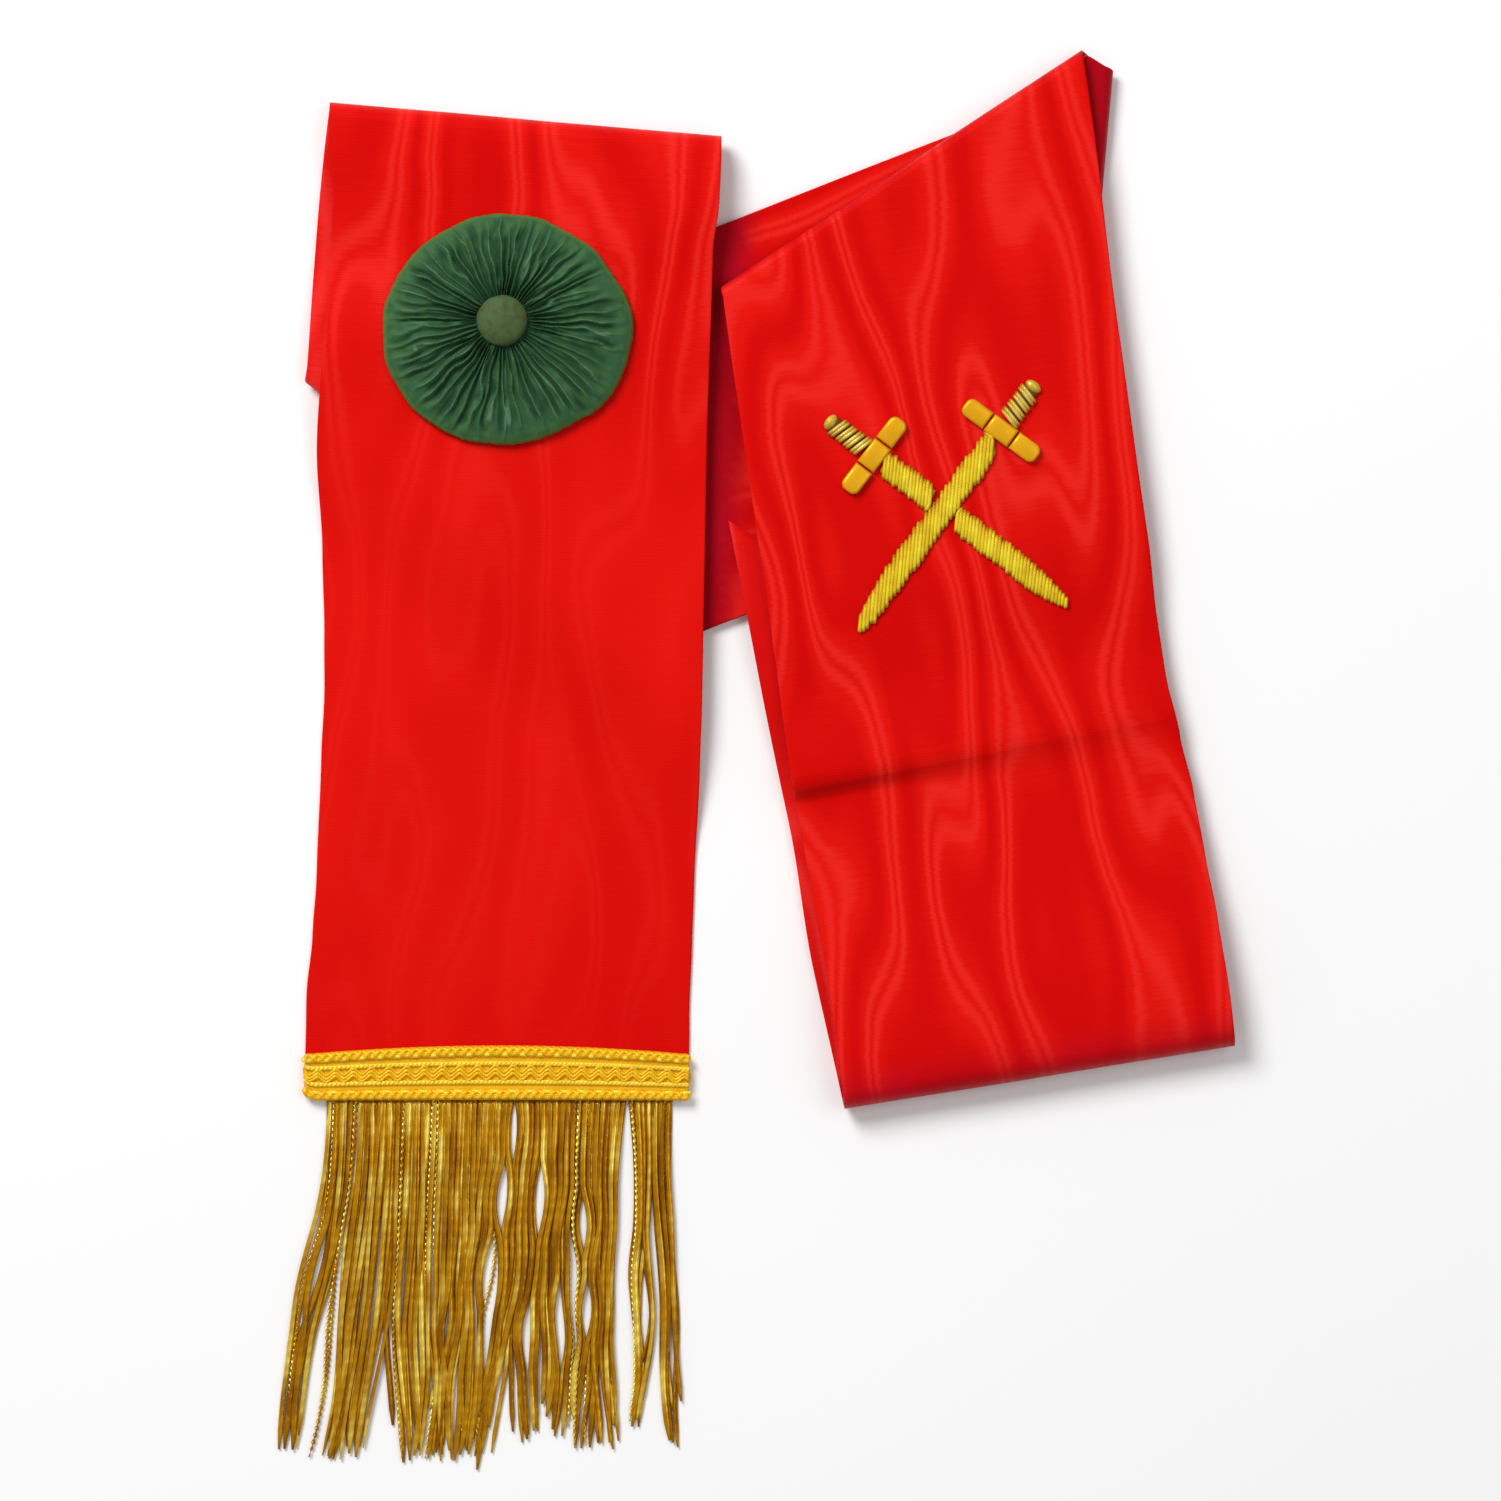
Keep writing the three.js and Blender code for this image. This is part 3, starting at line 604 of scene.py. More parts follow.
def make_button():
    section = list(BUTTON_FOOT)
    for step in range(BUTTON_STEPS + 1):
        turned = step / BUTTON_STEPS * math.pi / 2
        radius = math.cos(turned) if step < BUTTON_STEPS else 0.0
        section.append((radius, mix(DOME_START, 1.0, math.sin(turned))))
    bm = spun(section, BUTTON_CELLS)
    middle = on_silk(TAIL, rosette_centre, BUTTON_SEAT)
    for corner in bm.verts:
        angle = math.atan2(corner.co.y, corner.co.x)
        uneven = 1 + 0.03 * round_noise(angle, 2.0, 6.0)
        spread = math.hypot(corner.co.x, corner.co.y) * BUTTON_RADIUS * uneven
        lift = corner.co.z * BUTTON_HEIGHT * (1 + 0.05 * noise.noise(corner.co * 2.5))
        corner.co = middle + Vector((spread * math.cos(angle), spread * math.sin(angle), lift))
    return finish_piece(bm, "covered_button")


button = make_button()

# %% [markdown]
# Most of the gold work is thread. A helper lays one thread along a path: it works out a ring at each step and
# wraps a grid round them. The first and last row are pulled to a point, so that the ends are closed once the
# doubles are welded. The tube may be flat and may twist on its way, and each thread has its own tone along
# it. The tone is partly the uneven tarnish of metal thread and partly painted light and shade, which each
# piece below sets.

# %% Laying a thread
TIP = 0.4                   # share of the radius that is left at the end of a tapered thread
NEARBY = 0.01               # share of a thread before and behind a ring that gives its direction


def thread_rings(path, radius, steps, flat, twist, taper):
    """For each step: the middle of its ring, half its width and half its thickness."""
    rings = []
    for step in range(steps + 1):
        share = step / steps
        ahead = (path(min(share + NEARBY, 1.0)) - path(max(share - NEARBY, 0.0))).normalized()
        side = ahead.cross(Vector((0, 0, 1))).normalized()
        up = side.cross(ahead)
        turned = twist(share) if twist else 0.0
        wide = side * math.cos(turned) + up * math.sin(turned)
        thick = up * math.cos(turned) - side * math.sin(turned)
        slim = radius * (mix(TIP, 1.0, smooth((1 - share) / taper)) if taper else 1.0)
        rings.append((path(share), wide * slim, thick * slim * flat))
    return rings


def lay_thread(bm, path, radius, steps, sides=6, flat=1.0, twist=None, tone=None, taper=0.0):
    """A tube along path(share). radius is half its width, flat its height against its width. twist and tone
    give, at a share of its length, how far it has turned and how bright it is."""
    rings = thread_rings(path, radius, steps, flat, twist, taper)
    length = sum((after[0] - before[0]).length for before, after in zip(rings, rings[1:]))

    def place(round_share, long_share):
        row = round(long_share * (steps + 2))
        here, wide, thick = rings[min(max(row - 1, 0), steps)]
        if row in (0, steps + 2):
            return here
        angle = round_share * math.tau
        return here + wide * math.cos(angle) + thick * math.sin(angle)

    add_grid(bm, sides, steps + 2, place, (math.tau * radius, length), tone)


def arch(share):
    """Height of a round arch: 0 at both ends and 1 in the middle."""
    return max(1 - (2 * share - 1) ** 2, 0.0) ** 0.5


print("threads can be laid")

# %% [markdown]
# The swords are raised embroidery. A pad of felt gives each blade its crown, and satin stitches cross it side
# by side, all leaning the same way. Each stitch is its own thread here: a pattern in the material could draw
# them, but only real ones give the ragged edge that the blades have. Each stitch is painted browner towards
# its upper end, as painted shade on the side of the blade that is turned from the light, and its lower end is
# painted dark, as painted shade at the blade's edge.

# %% Where the swords lie
SWORD_LENGTH = 78 * MM
CROSS_PLACE, CROSS_ASIDE = 0.914 * RIBBON_WIDTH, -0.021 * RIBBON_WIDTH
OVER_TURN_ANGLE, UNDER_TURN_ANGLE = -43.6, 45.1     # degrees from the way that the ribbon runs
OVER_SLIDE = -0.03                                  # in sword lengths
BLADE_WIDTH = 5.6 * MM
BLADE_HEIGHT = 1.3 * MM
BLADE_TIP_WIDTH = 1.6 * MM
BLADE_TAPER = 0.2
GUARD_LENGTH, GUARD_WIDTH, GUARD_HEIGHT = 23.5 * MM, 5.2 * MM, 1.7 * MM
GRIP_WIDTH, GRIP_HEIGHT = 4.2 * MM, 1.5 * MM
STITCH_GAP, CROSS_GAP = 0.4 * MM, 1.0 * MM
TIP_PLACE, GUARD_PLACE, POMMEL_PLACE = 0.513 * SWORD_LENGTH, -0.289 * SWORD_LENGTH, -0.487 * SWORD_LENGTH
BLADE_START = GUARD_PLACE + GUARD_WIDTH / 2 + STITCH_GAP
GRIP_END = GUARD_PLACE - GUARD_WIDTH / 2 - STITCH_GAP
UNDER_BREAK = BLADE_WIDTH / 2 + CROSS_GAP


def sword_frame(turn, slide):
    """A sword's own plan frame. Places along it run towards the point. slide moves it on by a share of its
    length."""
    breast = RUNS[BREAST]
    turned = math.radians(turn)
    along = breast.along
    heading = Vector((along.x * math.cos(turned) - along.y * math.sin(turned),
                      along.x * math.sin(turned) + along.y * math.cos(turned)))
    centre = plan_in_run(breast, breast.start + CROSS_PLACE, CROSS_ASIDE) + heading * slide * SWORD_LENGTH
    return SimpleNamespace(centre=centre, heading=heading, side=square_to(heading))


def sword_point(sword, along, aside, lift):
    return on_silk(BREAST, sword.centre + sword.heading * along + sword.side * aside, lift)


over_sword, under_sword = sword_frame(OVER_TURN_ANGLE, OVER_SLIDE), sword_frame(UNDER_TURN_ANGLE, 0.0)
print("the swords cross at", sword_point(over_sword, 0, 0, 0))

# %% Satin-stitched blades
STITCH_RADIUS = 0.52 * MM
STITCH_PITCH = 0.88 * MM
STITCH_LEAN = Vector((0.10, 0.995)).normalized()      # all stitches run nearly up the sash
STITCH_REACH = (0.93, 1.16)     # ragged ends, in shares of the blade's half width
STITCH_RISE = (-0.14, 0.10)     # millimetres that a stitch lies too low or too high
STITCH_FOOT = 0.05 * MM         # height of its ends
PAD_SHARE = 0.9                 # how much of a blade's width its felt takes


def blade_half_width(place):
    taper_start = mix(TIP_PLACE, BLADE_START, BLADE_TAPER)
    narrowed = min(max((place - taper_start) / (TIP_PLACE - taper_start), 0.0), 1.0)
    return mix(BLADE_WIDTH, BLADE_TIP_WIDTH, narrowed ** 1.5) / 2


def add_pad(bm, sword, start, end, half_width_at, height, cells=24):
    """The felt under the stitches: a crowned strip, wrapped from a grid into a closed body."""
    def place(round_share, long_share):
        along = mix(start, end, long_share)
        wide = half_width_at(along) * (PAD_SHARE if 0 < long_share < 1 else 0.0)
        angle = round_share * math.tau
        lift = height * max(math.sin(angle), 0.0) * (wide / (BLADE_WIDTH / 2)) ** 0.5
        return sword_point(sword, along, wide * math.cos(angle), lift)

    add_grid(bm, 16, cells, place, (BLADE_WIDTH, end - start))


def make_blade(name, sword, start, end, seed):
    bm = bmesh.new()
    draw = random.Random(seed)
    add_pad(bm, sword, start, end, blade_half_width, BLADE_HEIGHT - STITCH_RADIUS)
    lean_aside, lean_along = STITCH_LEAN.dot(sword.side), STITCH_LEAN.dot(sword.heading)
    step = STITCH_PITCH / abs(lean_aside)
    count = int((end - start) / step)
    for index in range(count):
        middle = start + (index + 0.5) * step
        reach = blade_half_width(middle) / abs(lean_aside)
        ends = [-reach * draw.uniform(*STITCH_REACH), reach * draw.uniform(*STITCH_REACH)]
        crown = (BLADE_HEIGHT - STITCH_RADIUS) * (blade_half_width(middle) / (BLADE_WIDTH / 2)) ** 0.5
        raised = draw.uniform(*STITCH_RISE) * MM
        bright, painted_upper_shade = draw.uniform(0.45, 0.95), draw.uniform(0.45, 0.9)

        def stitch(share, middle=middle, ends=ends, crown=crown, raised=raised):
            run = mix(ends[0], ends[1], share)
            along = min(max(middle + run * lean_along, start - 0.2 * MM), end + 0.3 * MM)
            lift = mix(STITCH_FOOT, crown, arch(share)) + raised
            return sword_point(sword, along, run * lean_aside, lift)

        # Painted shade: browner towards the stitch's upper end and dark at its lower end.
        def tone(share, bright=bright, painted_upper_shade=painted_upper_shade):
            return bright * (1 - painted_upper_shade * smooth((share - 0.55) / 0.35)) * smooth(share / 0.12)

        lay_thread(bm, stitch, STITCH_RADIUS, steps=10, flat=0.8, tone=tone)
    return finish_piece(bm, name)


over_blade = make_blade("over_blade_stitches", over_sword, BLADE_START, TIP_PLACE, 1)
under_blade = make_blade("under_blade_stitches", under_sword, BLADE_START, -UNDER_BREAK, 2)
under_point = make_blade("under_point_stitches", under_sword, UNDER_BREAK, TIP_PLACE, 3)

# %% [markdown]
# A guard is three pads side by side, each covered with smooth flat thread, so it is made from three boxes
# with generous bevels. The outer two have round ends. Each box is made at its real size, bevelled, and
# then bent onto the silk.

# %% Guards
GUARD_PADS = 3
GUARD_SEAM = 0.45 * MM
ROUND_END, SOFT_EDGE = 1.9 * MM, 0.75 * MM     # bevels of a guard's two ends and of every upper edge


def bevel(bm, edges, offset, segments):
    bmesh.ops.bevel(bm, geom=edges, offset=offset, offset_type="OFFSET", affect="EDGES",
                    segments=segments, profile=0.5, material=-1)


def make_guard(name, sword):
    bm = bmesh.new()
    long = GUARD_LENGTH / GUARD_PADS - GUARD_SEAM
    for pad in range(GUARD_PADS):
        middle = (pad - 1) * GUARD_LENGTH / GUARD_PADS
        box = bmesh.ops.create_cube(bm, size=1.0)["verts"]
        wide = GUARD_WIDTH * (1.0 if pad == 1 else 0.98)
        bmesh.ops.scale(bm, vec=(long, wide, GUARD_HEIGHT), verts=box)
        bmesh.ops.translate(bm, vec=(middle, 0, GUARD_HEIGHT / 2), verts=box)
        upright = [edge for edge in {edge for corner in box for edge in corner.link_edges}
                   if abs(edge.verts[0].co.z - edge.verts[1].co.z) > GUARD_HEIGHT / 2
                   and (pad - 1) * (edge.verts[0].co.x - middle) > 0]
        if upright:
            bevel(bm, upright, ROUND_END, 5)
    top = [edge for edge in bm.edges
           if min(edge.verts[0].co.z, edge.verts[1].co.z) > GUARD_HEIGHT * 0.9]
    bevel(bm, top, SOFT_EDGE, 4)
    for corner in bm.verts:
        crown = 1 - 0.10 * (corner.co.y / (GUARD_WIDTH / 2)) ** 2
        corner.co = sword_point(sword, GUARD_PLACE + corner.co.y, corner.co.x, corner.co.z * crown)
    return finish_piece(bm, name, sharp_angle=60)


over_guard = make_guard("over_guard_pads", over_sword)
under_guard = make_guard("under_guard_pads", under_sword)

# %% [markdown]
# A grip is wound. Pairs of pale cords lie aslant over a core that is painted dark brown, as painted shade in
# the gaps between the cords, and a small domed knob ends it. Each cord is painted brightest on its crown and
# darker where it dips to the core, as painted light and shade.

# %% Grips
COIL_PAIRS = 4
COIL_RADIUS = 0.50 * MM
COIL_SLANT = 1.5 * MM
COIL_FOOT = 0.25 * MM
KNOB_LENGTH = 2.8 * MM
GRIP_BULGE = 1.10


def grip_half_width(place):
    share = (place - POMMEL_PLACE) / (GRIP_END - POMMEL_PLACE)
    return GRIP_WIDTH / 2 * (GRIP_BULGE + 0.06 * math.cos(share * math.tau))


def make_grip(name, sword, core_name):
    core = bmesh.new()
    add_pad(core, sword, POMMEL_PLACE + 0.6 * MM, GRIP_END, grip_half_width, GRIP_HEIGHT * 0.62, cells=10)
    bm = bmesh.new()
    wound = GRIP_END - POMMEL_PLACE - KNOB_LENGTH
    for coil in range(COIL_PAIRS * 2):
        pair, second = divmod(coil, 2)
        middle = POMMEL_PLACE + KNOB_LENGTH + wound * (pair + 0.34 + 0.38 * second) / COIL_PAIRS

        def cord(share, middle=middle):
            aside = mix(-1.0, 1.0, share) * grip_half_width(middle) * 1.12
            along = middle + COIL_SLANT * (share - 0.5)
            lift = mix(COIL_FOOT, GRIP_HEIGHT - COIL_RADIUS * 0.6, arch(share))
            return sword_point(sword, along, aside, lift)

        # Painted highlight on the crown of each cord, and painted shade where it dips down to the core.
        lay_thread(bm, cord, COIL_RADIUS, steps=12, sides=8, tone=lambda share: 0.9 - 1.2 * abs(share - 0.5))

    def knob(round_share, long_share):
        angle, turned = round_share * math.tau, long_share * math.pi
        wide = GRIP_WIDTH / 2 * GRIP_BULGE * math.sin(turned)
        along = POMMEL_PLACE + KNOB_LENGTH / 2 * (1 - math.cos(turned))
        lift = GRIP_HEIGHT * 0.9 * max(math.sin(angle), 0.0) * math.sin(turned) ** 0.5
        return sword_point(sword, along, wide * math.cos(angle), lift)

    # The knob is darker towards the cords.
    add_grid(bm, 16, 10, knob, (GRIP_WIDTH, KNOB_LENGTH), tone=lambda share: 0.6 - 0.4 * share)
    return finish_piece(bm, name), finish_piece(core, core_name)


over_grip, over_core = make_grip("over_grip_cords", over_sword, "over_grip_core")
under_grip, under_core = make_grip("under_grip_cords", under_sword, "under_grip_core")

# %% [markdown]
# The braid is a woven gold trimming in rows: loops along both edges, two fine cords, a row of chevrons
# between them, and short floats every few millimetres, painted at full brightness as painted highlights. Its
# ground is one bent band, and the rows are threads laid on it, because they stand up round. Every row is
# given by its place up the braid and by a wave, and its tone is painted lighter where the thread rises over
# and darker where it dips under, as painted light and shade. The braid lies level, as the cut end does, and
# its lower left corner is round.

# %% Ground of the braid
BRAID_OVERHANG, BRAID_DROP = 0.8 * MM, 2.0 * MM
BRAID_DEPTH, BRAID_GROUND = 15 * MM, 0.8 * MM
BRAID_BOW = 2.4 * MM        # the braid is this much less deep at both ends
BRAID_CORNER = 4.0 * MM
BRAID_TUCK = 1.6 * MM       # the right end is tucked in by this, with the silk under it
BRAID_HALF = HALF_WIDTH + BRAID_OVERHANG


def cut_level(right):
    """How far up the tail the level cut lies, to the right of the tail's middle line."""
    return CUT_PLACE + CUT_SLOPE * right


def braid_point(share, up, lift):
    """share runs from -1 at the left end to 1, and up from 0 at the lower edge to 1."""
    inside = min((share + 1) * BRAID_HALF / BRAID_CORNER, 1.0)
    rounded = BRAID_CORNER * (1 - math.sqrt(max(1 - (1 - inside) ** 2, 0.0)))
    depth = BRAID_DEPTH - BRAID_BOW * share * share
    right = share * BRAID_HALF - BRAID_TUCK * smooth(share)
    along = mix(rounded, depth, up) - BRAID_DROP + cut_level(right)
    return on_silk(TAIL, tail_plan(right, -along), lift)


def boxy(value, power):
    """A sine or cosine, pushed outwards, so that a round thing gets corners."""
    return math.copysign(abs(value) ** power, value)


def add_ground(bm):
    def place(round_share, long_share):
        angle = round_share * math.tau
        up = 0.5 + 0.47 * boxy(math.cos(angle), 0.25)
        lift = BRAID_GROUND * (0.5 + 0.5 * boxy(math.sin(angle), 0.5))
        if long_share in (0, 1):
            return braid_point(2 * long_share - 1, 0.5, BRAID_GROUND / 2)
        return braid_point(mix(-1, 1, long_share), up, lift)

    add_grid(bm, 20, 96, place, (2 * BRAID_DEPTH, 2 * BRAID_HALF), tone=lambda share: 0.5)


braid_mesh = bmesh.new()
add_ground(braid_mesh)
print("braid ground:", len(braid_mesh.faces), "faces")

# %% Rows of the braid
LOOP_PERIOD = 4.7 * MM
LOOPS = round(2 * BRAID_HALF / LOOP_PERIOD)
FLOAT_LENGTH, FLOAT_RADIUS = 2.7 * MM, 0.55 * MM


def zigzag(turns):
    return 2 * abs(2 * (turns % 1.0) - 1) - 1


def swing(turns):
    return math.sin(math.tau * turns)


def loop_wave(turns):
    return boxy(swing(turns), 0.6)


def add_row(bm, up, rise, turns, phase, wave, radius, depth, bright):
    """One thread from end to end. It swings by rise up and down as wave says, and over and under by depth."""
    def thread(share):
        angle = share * turns + phase
        lift = BRAID_GROUND + radius * 0.6 + depth * math.cos(math.tau * 2 * angle)
        place = up + rise * wave(angle)
        return braid_point(mix(-0.99, 0.99, share), place, lift)

    # Painted light and shade: the tone is lighter where the thread rises over and darker where it dips under.
    def tone(share):
        return bright + 0.15 * math.cos(math.tau * 2 * (share * turns + phase))

    lay_thread(bm, thread, radius, steps=turns * 10, tone=tone)


def add_floats(bm, up, first):
    """Short threads in a line, one in each loop, painted at full brightness as painted highlights."""
    for index in range(LOOPS):
        middle = mix(-1, 1, (index + first) / LOOPS)

        def thread(share, middle=middle):
            place = middle + (share - 0.5) * FLOAT_LENGTH / BRAID_HALF
            return braid_point(place, up, BRAID_GROUND + 0.5 * MM * math.sin(math.pi * share) + 0.2 * MM)

        lay_thread(bm, thread, FLOAT_RADIUS, steps=8, sides=8, flat=0.8, tone=lambda share: 1.0)


BOTH, ONE = (0.0, 0.5), (0.25,)     # phases: two threads that cross each other, or a single one
ROWS = [
    # places up the braid, rise, swings in a loop, phases, wave, radius and depth in millimetres, brightness
    ((0.87, 0.13), 0.055, 1, BOTH, loop_wave, 0.72, 0.22, 0.45),
    ((0.87, 0.13), 0.015, 2, ONE, swing, 0.62, 0.10, 0.50),
    ((0.665, 0.345), 0.018, 2, BOTH, swing, 0.48, 0.12, 0.85),
    ((0.440, 0.570), 0.070, 1, ONE, zigzag, 0.50, 0.05, 0.35),
    ((0.505,), 0.070, 1, ONE, zigzag, 0.50, 0.05, 0.60),
]
FLOATS = [(0.8182, 0.25), (0.1818, 0.75)]     # place up the braid, and where in its loop a float lies
for places, rise, swings, phases, wave, radius, depth, bright in ROWS:
    for up in places:
        for phase in phases:
            add_row(braid_mesh, up, rise, LOOPS * swings, phase, wave, radius * MM, depth * MM, bright)
for up, first in FLOATS:
    add_floats(braid_mesh, up, first)
braid = finish_piece(braid_mesh, "gold_braid")

# %% [markdown]
# The fringe is sewn on under the braid. On a table its cords fall into tufts, and the solids already say
# where each tuft goes. Here every tuft gets its cords: each starts at its own place under the braid, joins
# its tuft and ends at its own length. Most cords are smooth flat strip that lies on its side, and a few are
# tightly twisted; these are painted brighter, as painted sparkle. A force field in a hair system could part
# the cords. A short list of partings does the same thing in a way that can be read: each one pushes the cords
# aside.

# %% Tufts and partings of the fringe
FRINGE_INSET = 5.5 * MM
FRINGE_LENGTH = 94 * MM
FRINGE_WIDTH = RIBBON_WIDTH - 2 * FRINGE_INSET
TUFT_WIDTH = 9.0 * MM
TUFT_WAVE = 1.5 * MM
CORD_ROOT = 0.9 * MM        # how far below the cut a cord starts, hidden by the braid
TUFTS = [
    # place under the braid in shares, length and swing of the tip in fringe lengths, width in tuft widths
    (0.045, 0.96, -0.13, 0.9), (0.11, 0.98, -0.08, 1.0), (0.18, 0.98, -0.055, 1.0), (0.25, 0.99, 0.0, 1.1),
    (0.325, 0.97, 0.0, 1.0), (0.40, 0.98, -0.015, 1.0), (0.475, 1.00, -0.04, 0.9), (0.55, 0.96, -0.055, 0.9),
    (0.62, 0.92, -0.02, 1.0), (0.69, 0.90, -0.02, 0.9), (0.76, 0.93, 0.01, 0.9), (0.825, 0.93, 0.01, 0.8),
    (0.915, 0.87, 0.015, 0.6), (0.965, 0.92, 0.07, 0.6),
]
PARTINGS = [
    # right of the middle line, down from the cut end, half width and half length, in millimetres
    (1.5, 25.4, 1.5, 8.5), (10.9, 25.9, 1.3, 9.3), (22.7, 31.5, 1.2, 7.7), (33.5, 20.7, 2.0, 19.6),
    (39.0, 52.7, 1.1, 16.0), (4.2, 8.1, 0.4, 8.0), (-1.9, 44.2, 1.1, 9.5), (-45.9, 47.0, 0.8, 11.7),
    (17.3, 57.8, 0.9, 9.8), (23.4, 54.0, 1.0, 6.7), (-12.0, 60.0, 0.5, 9.0), (8.5, 60.0, 0.5, 8.0),
]
PARTING_REACH = 5.0 * MM
PARTING_WIDTH = 0.6         # share of a parting's width that is pushed open
PARTING_STRETCH = 1.3       # cords begin to part this much before a parting and close as much behind it


def tuft_centre(index, share):
    at, _, spread, _ = TUFTS[index]
    ripple = TUFT_WAVE * math.sin(math.tau * (1.1 * share + 0.37 * index)) * share
    return (at - 0.5) * FRINGE_WIDTH + spread * FRINGE_LENGTH * share ** 1.4 + ripple


def tuft_edges(index):
    """Where a tuft's cords start under the braid: from halfway to the tufts on both sides of it."""
    here = TUFTS[index][0]
    left = 0.0 if index == 0 else (TUFTS[index - 1][0] + here) / 2
    right = 1.0 if index == len(TUFTS) - 1 else (here + TUFTS[index + 1][0]) / 2
    return (left - 0.5) * FRINGE_WIDTH, (right - 0.5) * FRINGE_WIDTH


print("tufts:", len(TUFTS), "partings:", len(PARTINGS))

# %% Cords of the fringe
CORD_RADIUS = 0.76 * MM
CORD_LOWEST = 0.62 * MM     # the middle of a cord that lies on the table, tilted on its side
TWISTED_RADIUS = 0.55 * MM
TWISTED_TURNS = 26
TWISTED_SHARE = 0.13        # of all cords
CORD_ENDS = 0.05            # share of a cord over which its end tapers
CORD_SHORTER = 0.16         # share by which a cord may end before its tuft
CORD_STRAY = 1.1            # millimetres that the tips stray
CORD_FLAT, TWISTED_FLAT = 0.42, 0.35        # thickness in shares of the width
CORD_STEPS, TWISTED_STEPS = 40, TWISTED_TURNS * 8
FRINGE_SEED = 7
LAYERS = [(0.45 * MM, 1.30 * MM, 0.0), (1.15 * MM, 1.55 * MM, 0.5)]     # lift, pitch and stagger


def pushes_on(right_at, root, length):
    """The partings along a cord: where the middle of each lies, half its length and its push aside. The first
    two are shares of the cord."""
    found = []
    for right, down, half_width, half_length in PARTINGS:
        share = (down * MM - root) / (length - root)
        if 0 < share < 1:
            aside = right_at(share) - right * MM
            force = math.copysign(math.exp(-abs(aside) / PARTING_REACH), aside)
            width = PARTING_WIDTH * half_width * MM + CORD_RADIUS
            found.append((share, PARTING_STRETCH * half_length * MM / (length - root), force * width))
    return found


def add_cord(bm, index, rank, start, lift, draw):
    _, reach, _, wide = TUFTS[index]
    length = BRAID_DROP + FRINGE_LENGTH * reach * (1 - CORD_SHORTER * draw.random() ** 2)
    root = CORD_ROOT - cut_level(start)
    tip, gathering = rank * draw.uniform(0.2, 1.0), draw.uniform(1.3, 2.2)
    sway, often, phase = draw.uniform(0.2, 1.0) * MM, draw.uniform(0.5, 1.3), draw.random()
    bright, lane = draw.uniform(0.10, 0.75), draw.uniform(0, 100)
    twisted, stray = draw.random() < TWISTED_SHARE, draw.gauss(0, CORD_STRAY) * MM
    height = lift + draw.uniform(-0.1, 0.3) * MM

    def right_at(share):
        inside = tuft_centre(index, share) + mix(rank, tip, share ** 1.6) * wide * TUFT_WIDTH / 2
        inside += sway * math.sin(math.tau * (often * share + phase)) * share + stray * share ** 2
        return mix(start, inside, smooth(share * gathering))

    pushes = pushes_on(right_at, root, length)

    def path(share):
        right = right_at(share)
        for middle, half, push in pushes:
            right += push * max(1 - ((share - middle) / half) ** 2, 0.0) ** 1.6
        point = tail_plan(right, mix(root, length, share))
        settled = mix(height, CORD_LOWEST, smooth((share - 0.6) / 0.4) * 0.6)
        lift = max(mix(CORD_LOWEST, settled, smooth(share * 5)), CORD_LOWEST)
        return Vector((point.x, point.y, lift)) + SHIFT

    # Each cord has its own random brightness. The streaks along it are partly random tone and partly painted
    # shine, the cord is brighter near its root, and a twisted cord is painted brighter still, as painted
    # sparkle.
    def tone(share):
        streak = noise.noise(Vector((lane, share * 8, 0.0)))
        return min(max(bright + 0.7 * streak + 0.25 * (1 - smooth(share * 12)) + 0.4 * twisted, 0.0), 1.0)

    if twisted:
        lay_thread(bm, path, TWISTED_RADIUS, TWISTED_STEPS, flat=TWISTED_FLAT, tone=tone, taper=CORD_ENDS,
                   twist=lambda share: (phase + TWISTED_TURNS * share) * math.tau)
    else:
        roll, turn = draw.uniform(-0.4, 0.4), draw.uniform(-0.45, 0.45)
        radius = CORD_RADIUS * draw.uniform(0.75, 1.1)
        lay_thread(bm, path, radius, CORD_STEPS, sides=8, flat=CORD_FLAT, tone=tone, taper=CORD_ENDS,
                   twist=lambda share: roll + turn * share)


def make_fringe():
    bm = bmesh.new()
    draw = random.Random(FRINGE_SEED)
    cords = 0
    for lift, pitch, stagger in LAYERS:
        for index in range(len(TUFTS)):
            left, right = tuft_edges(index)
            count = max(3, round((right - left) / pitch))
            for cord in range(count):
                share = (cord + 0.5 + 0.4 * (stagger - 0.25) * draw.uniform(-1, 1)) / count
                add_cord(bm, index, share * 2 - 1, mix(left, right, share), lift, draw)
                cords += 1
    print("cords laid:", cords)
    return finish_piece(bm, "bullion_fringe")


fringe = make_fringe()

# %% [markdown]
# Materials come next. Every one is a Principled BSDF with nodes that work out its colour, roughness and
# bump. A few short helpers keep the node trees readable. They add any node, do sums, lay colours over each
# other, make noise and read what was stored with the mesh.

# %% Node helpers
MIX_SHARE, MIX_UNDER, MIX_OVER, MIXED = 0, 6, 7, 2      # sockets of a Mix node that is set to colours


def add(tree, kind, inputs=None, **settings):
    """Adds a node. inputs holds, by name or number, what each socket is linked to or set to."""
    made = tree.nodes.new(kind)
    for name, value in settings.items():
        setattr(made, name, value)
    for key, value in (inputs or {}).items():
        if isinstance(value, bpy.types.NodeSocket):
            tree.links.new(value, made.inputs[key])
        else:
            made.inputs[key].default_value = value
    return made


def calc(tree, operation, *values):
    return add(tree, "ShaderNodeMath", dict(enumerate(values)), operation=operation).outputs[0]


def times(tree, value, factor):
    return calc(tree, "MULTIPLY", value, factor)


